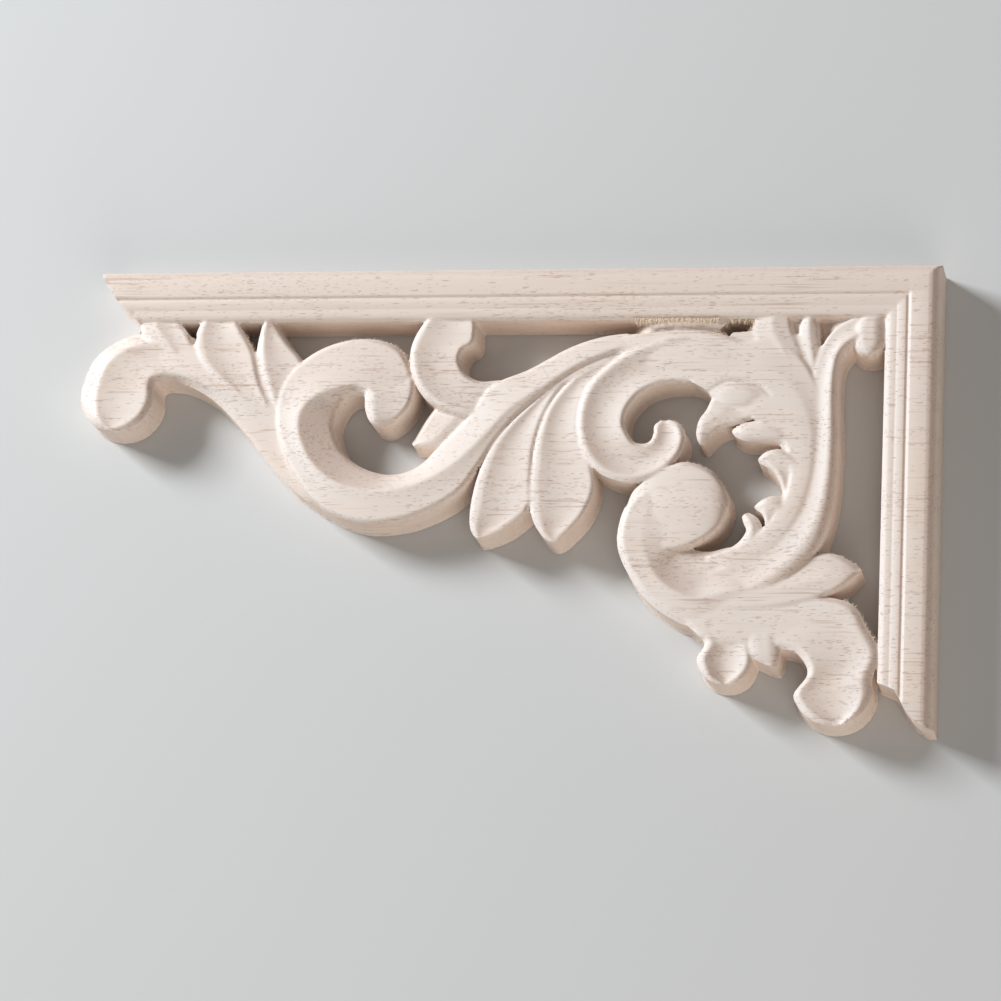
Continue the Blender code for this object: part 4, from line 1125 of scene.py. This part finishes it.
def grow_fibres(bm, plans):
    """Grow the planned fibres, each thin, bent and pointed."""
    owner = bm.verts.layers.int.new("owner")
    side = bm.verts.layers.float_vector.new("side")
    tips = []
    for index, (base, reach, _, thick) in enumerate(plans):
        turn = reach.to_track_quat("Z", "Y").to_matrix()
        ring = bmesh.ops.create_circle(bm, cap_ends=True, segments=4, radius=thick)["verts"]
        tips.append(ring[0].link_faces[0])
        for vert in ring:
            vert[owner] = index
            vert[side] = turn @ vert.co
            vert.co = base + vert[side]
    for joint in range(1, FIBRE_JOINTS + 1):
        made = bmesh.ops.extrude_face_region(bm, geom=tips)["geom"]
        tips = [g for g in made if isinstance(g, bmesh.types.BMFace)]
        t = joint / FIBRE_JOINTS
        for face in tips:
            for vert in face.verts:
                base, reach, curl, _ = plans[vert[owner]]
                vert.co = base + reach * t + curl * t * t + vert[side] * (1.0 - FIBRE_TAPER * t)


class ONLAY_OT_stage(bpy.types.Operator):
    """Set the pale floor, the soft lights and the camera"""

    bl_idname = "onlay.stage"
    bl_label = "Studio"

    def execute(self, context):
        studio = context.scene.onlay_studio
        add_floor(studio)
        aim = Vector(AIM)
        for name, place, size, colour in LIGHTS:
            add_light(name, place, aim, size, getattr(studio, name), colour)
        world = bpy.data.worlds.new("studio")
        world.use_nodes = True
        back = world.node_tree.nodes["Background"]
        back.inputs["Color"].default_value = (1.0, 1.0, 1.0, 1.0)
        back.inputs["Strength"].default_value = WORLD_LIGHT
        context.scene.world = world
        context.scene.view_settings.view_transform = "Standard"
        add_camera(context, studio, aim)
        return {"FINISHED"}


def add_floor(studio):
    """Lay a wide pale floor just under the flat back."""
    bm = bmesh.new()
    bmesh.ops.create_grid(bm, x_segments=1, y_segments=1, size=FLOOR_SIZE)
    bmesh.ops.translate(bm, verts=bm.verts[:], vec=(0.0, 0.0, -FLOOR_GAP))
    material, tree, shader, place = new_material("studio_floor", FLOOR_SHINE)
    patch = remap(tree, cloud(tree, place, *FLOOR_PATCHES), *FLOOR_PATCH_RANGE)
    dark = [c * FLOOR_DARK for c in studio.floor]
    feed(tree, shader.inputs["Base Color"], mix_colour(tree, patch, studio.floor, dark))
    feed(tree, shader.inputs["Roughness"], FLOOR_ROUGH)
    floor = mesh_piece("studio_floor", bm, material, CARVING_ANGLE)


def add_light(name, place, aim, size, power, colour):
    """Hang a square soft light and point it at the onlay."""
    light = bpy.data.lights.new(name, "AREA")
    light.energy = power
    light.size = size
    light.color = colour
    lamp = bpy.data.objects.new(name, light)
    lamp.location = place
    lamp.rotation_euler = (aim - Vector(place)).to_track_quat("-Z", "Y").to_euler()
    bpy.context.scene.collection.objects.link(lamp)


def add_camera(context, studio, aim):
    """Stand the camera where the photograph was taken from, turned to the onlay."""
    data = bpy.data.cameras.new("camera")
    data.lens = studio.lens
    data.sensor_width = SENSOR
    data.clip_start, data.clip_end = CAMERA_RANGE
    camera = bpy.data.objects.new("camera", data)
    place = Vector(EYE)
    look = (aim - place).normalized()
    right = Vector((1.0, 0.0, 0.0))
    right = (right - look * right.dot(look)).normalized()
    up = right.cross(look)
    turn = Matrix((right, up, -look)).transposed().to_4x4()
    camera.matrix_world = Matrix.Translation(place) @ turn
    context.scene.collection.objects.link(camera)
    context.scene.camera = camera


class ONLAY_PT_panel(bpy.types.Panel):
    """Lists the sizes, the finish and the steps of the onlay"""

    bl_label = "Carved corner onlay"
    bl_idname = "ONLAY_PT_panel"
    bl_space_type = "VIEW_3D"
    bl_region_type = "UI"
    bl_category = "Onlay"

    def draw(self, context):
        layout = self.layout
        for group in (context.scene.onlay_sizes, context.scene.onlay_finish, context.scene.onlay_studio):
            box = layout.box()
            for key in group.bl_rna.properties.keys():
                if key not in {"rna_type", "name"}:
                    box.prop(group, key)
        for operator in STEPS:
            layout.operator(operator.bl_idname)


STEPS = (ONLAY_OT_carving, ONLAY_OT_fibres, ONLAY_OT_stage)
GROUPS = (("onlay_sizes", OnlaySizes), ("onlay_finish", OnlayFinish), ("onlay_studio", OnlayStudio))


def register():
    """Add the settings, the steps and the panel to Blender."""
    for name, group in GROUPS:
        bpy.utils.register_class(group)
        setattr(bpy.types.Scene, name, PointerProperty(type=group))
    for operator in STEPS:
        bpy.utils.register_class(operator)
    bpy.utils.register_class(ONLAY_PT_panel)


def unregister():
    """Take the panel, the steps and the settings out again."""
    bpy.utils.unregister_class(ONLAY_PT_panel)
    for operator in reversed(STEPS):
        bpy.utils.unregister_class(operator)
    for name, group in reversed(GROUPS):
        delattr(bpy.types.Scene, name)
        bpy.utils.unregister_class(group)


def main():
    """Build the onlay and its studio."""
    register()
    bpy.ops.onlay.carving()
    bpy.ops.onlay.fibres()
    bpy.ops.onlay.stage()


if __name__ == "__main__":
    main()
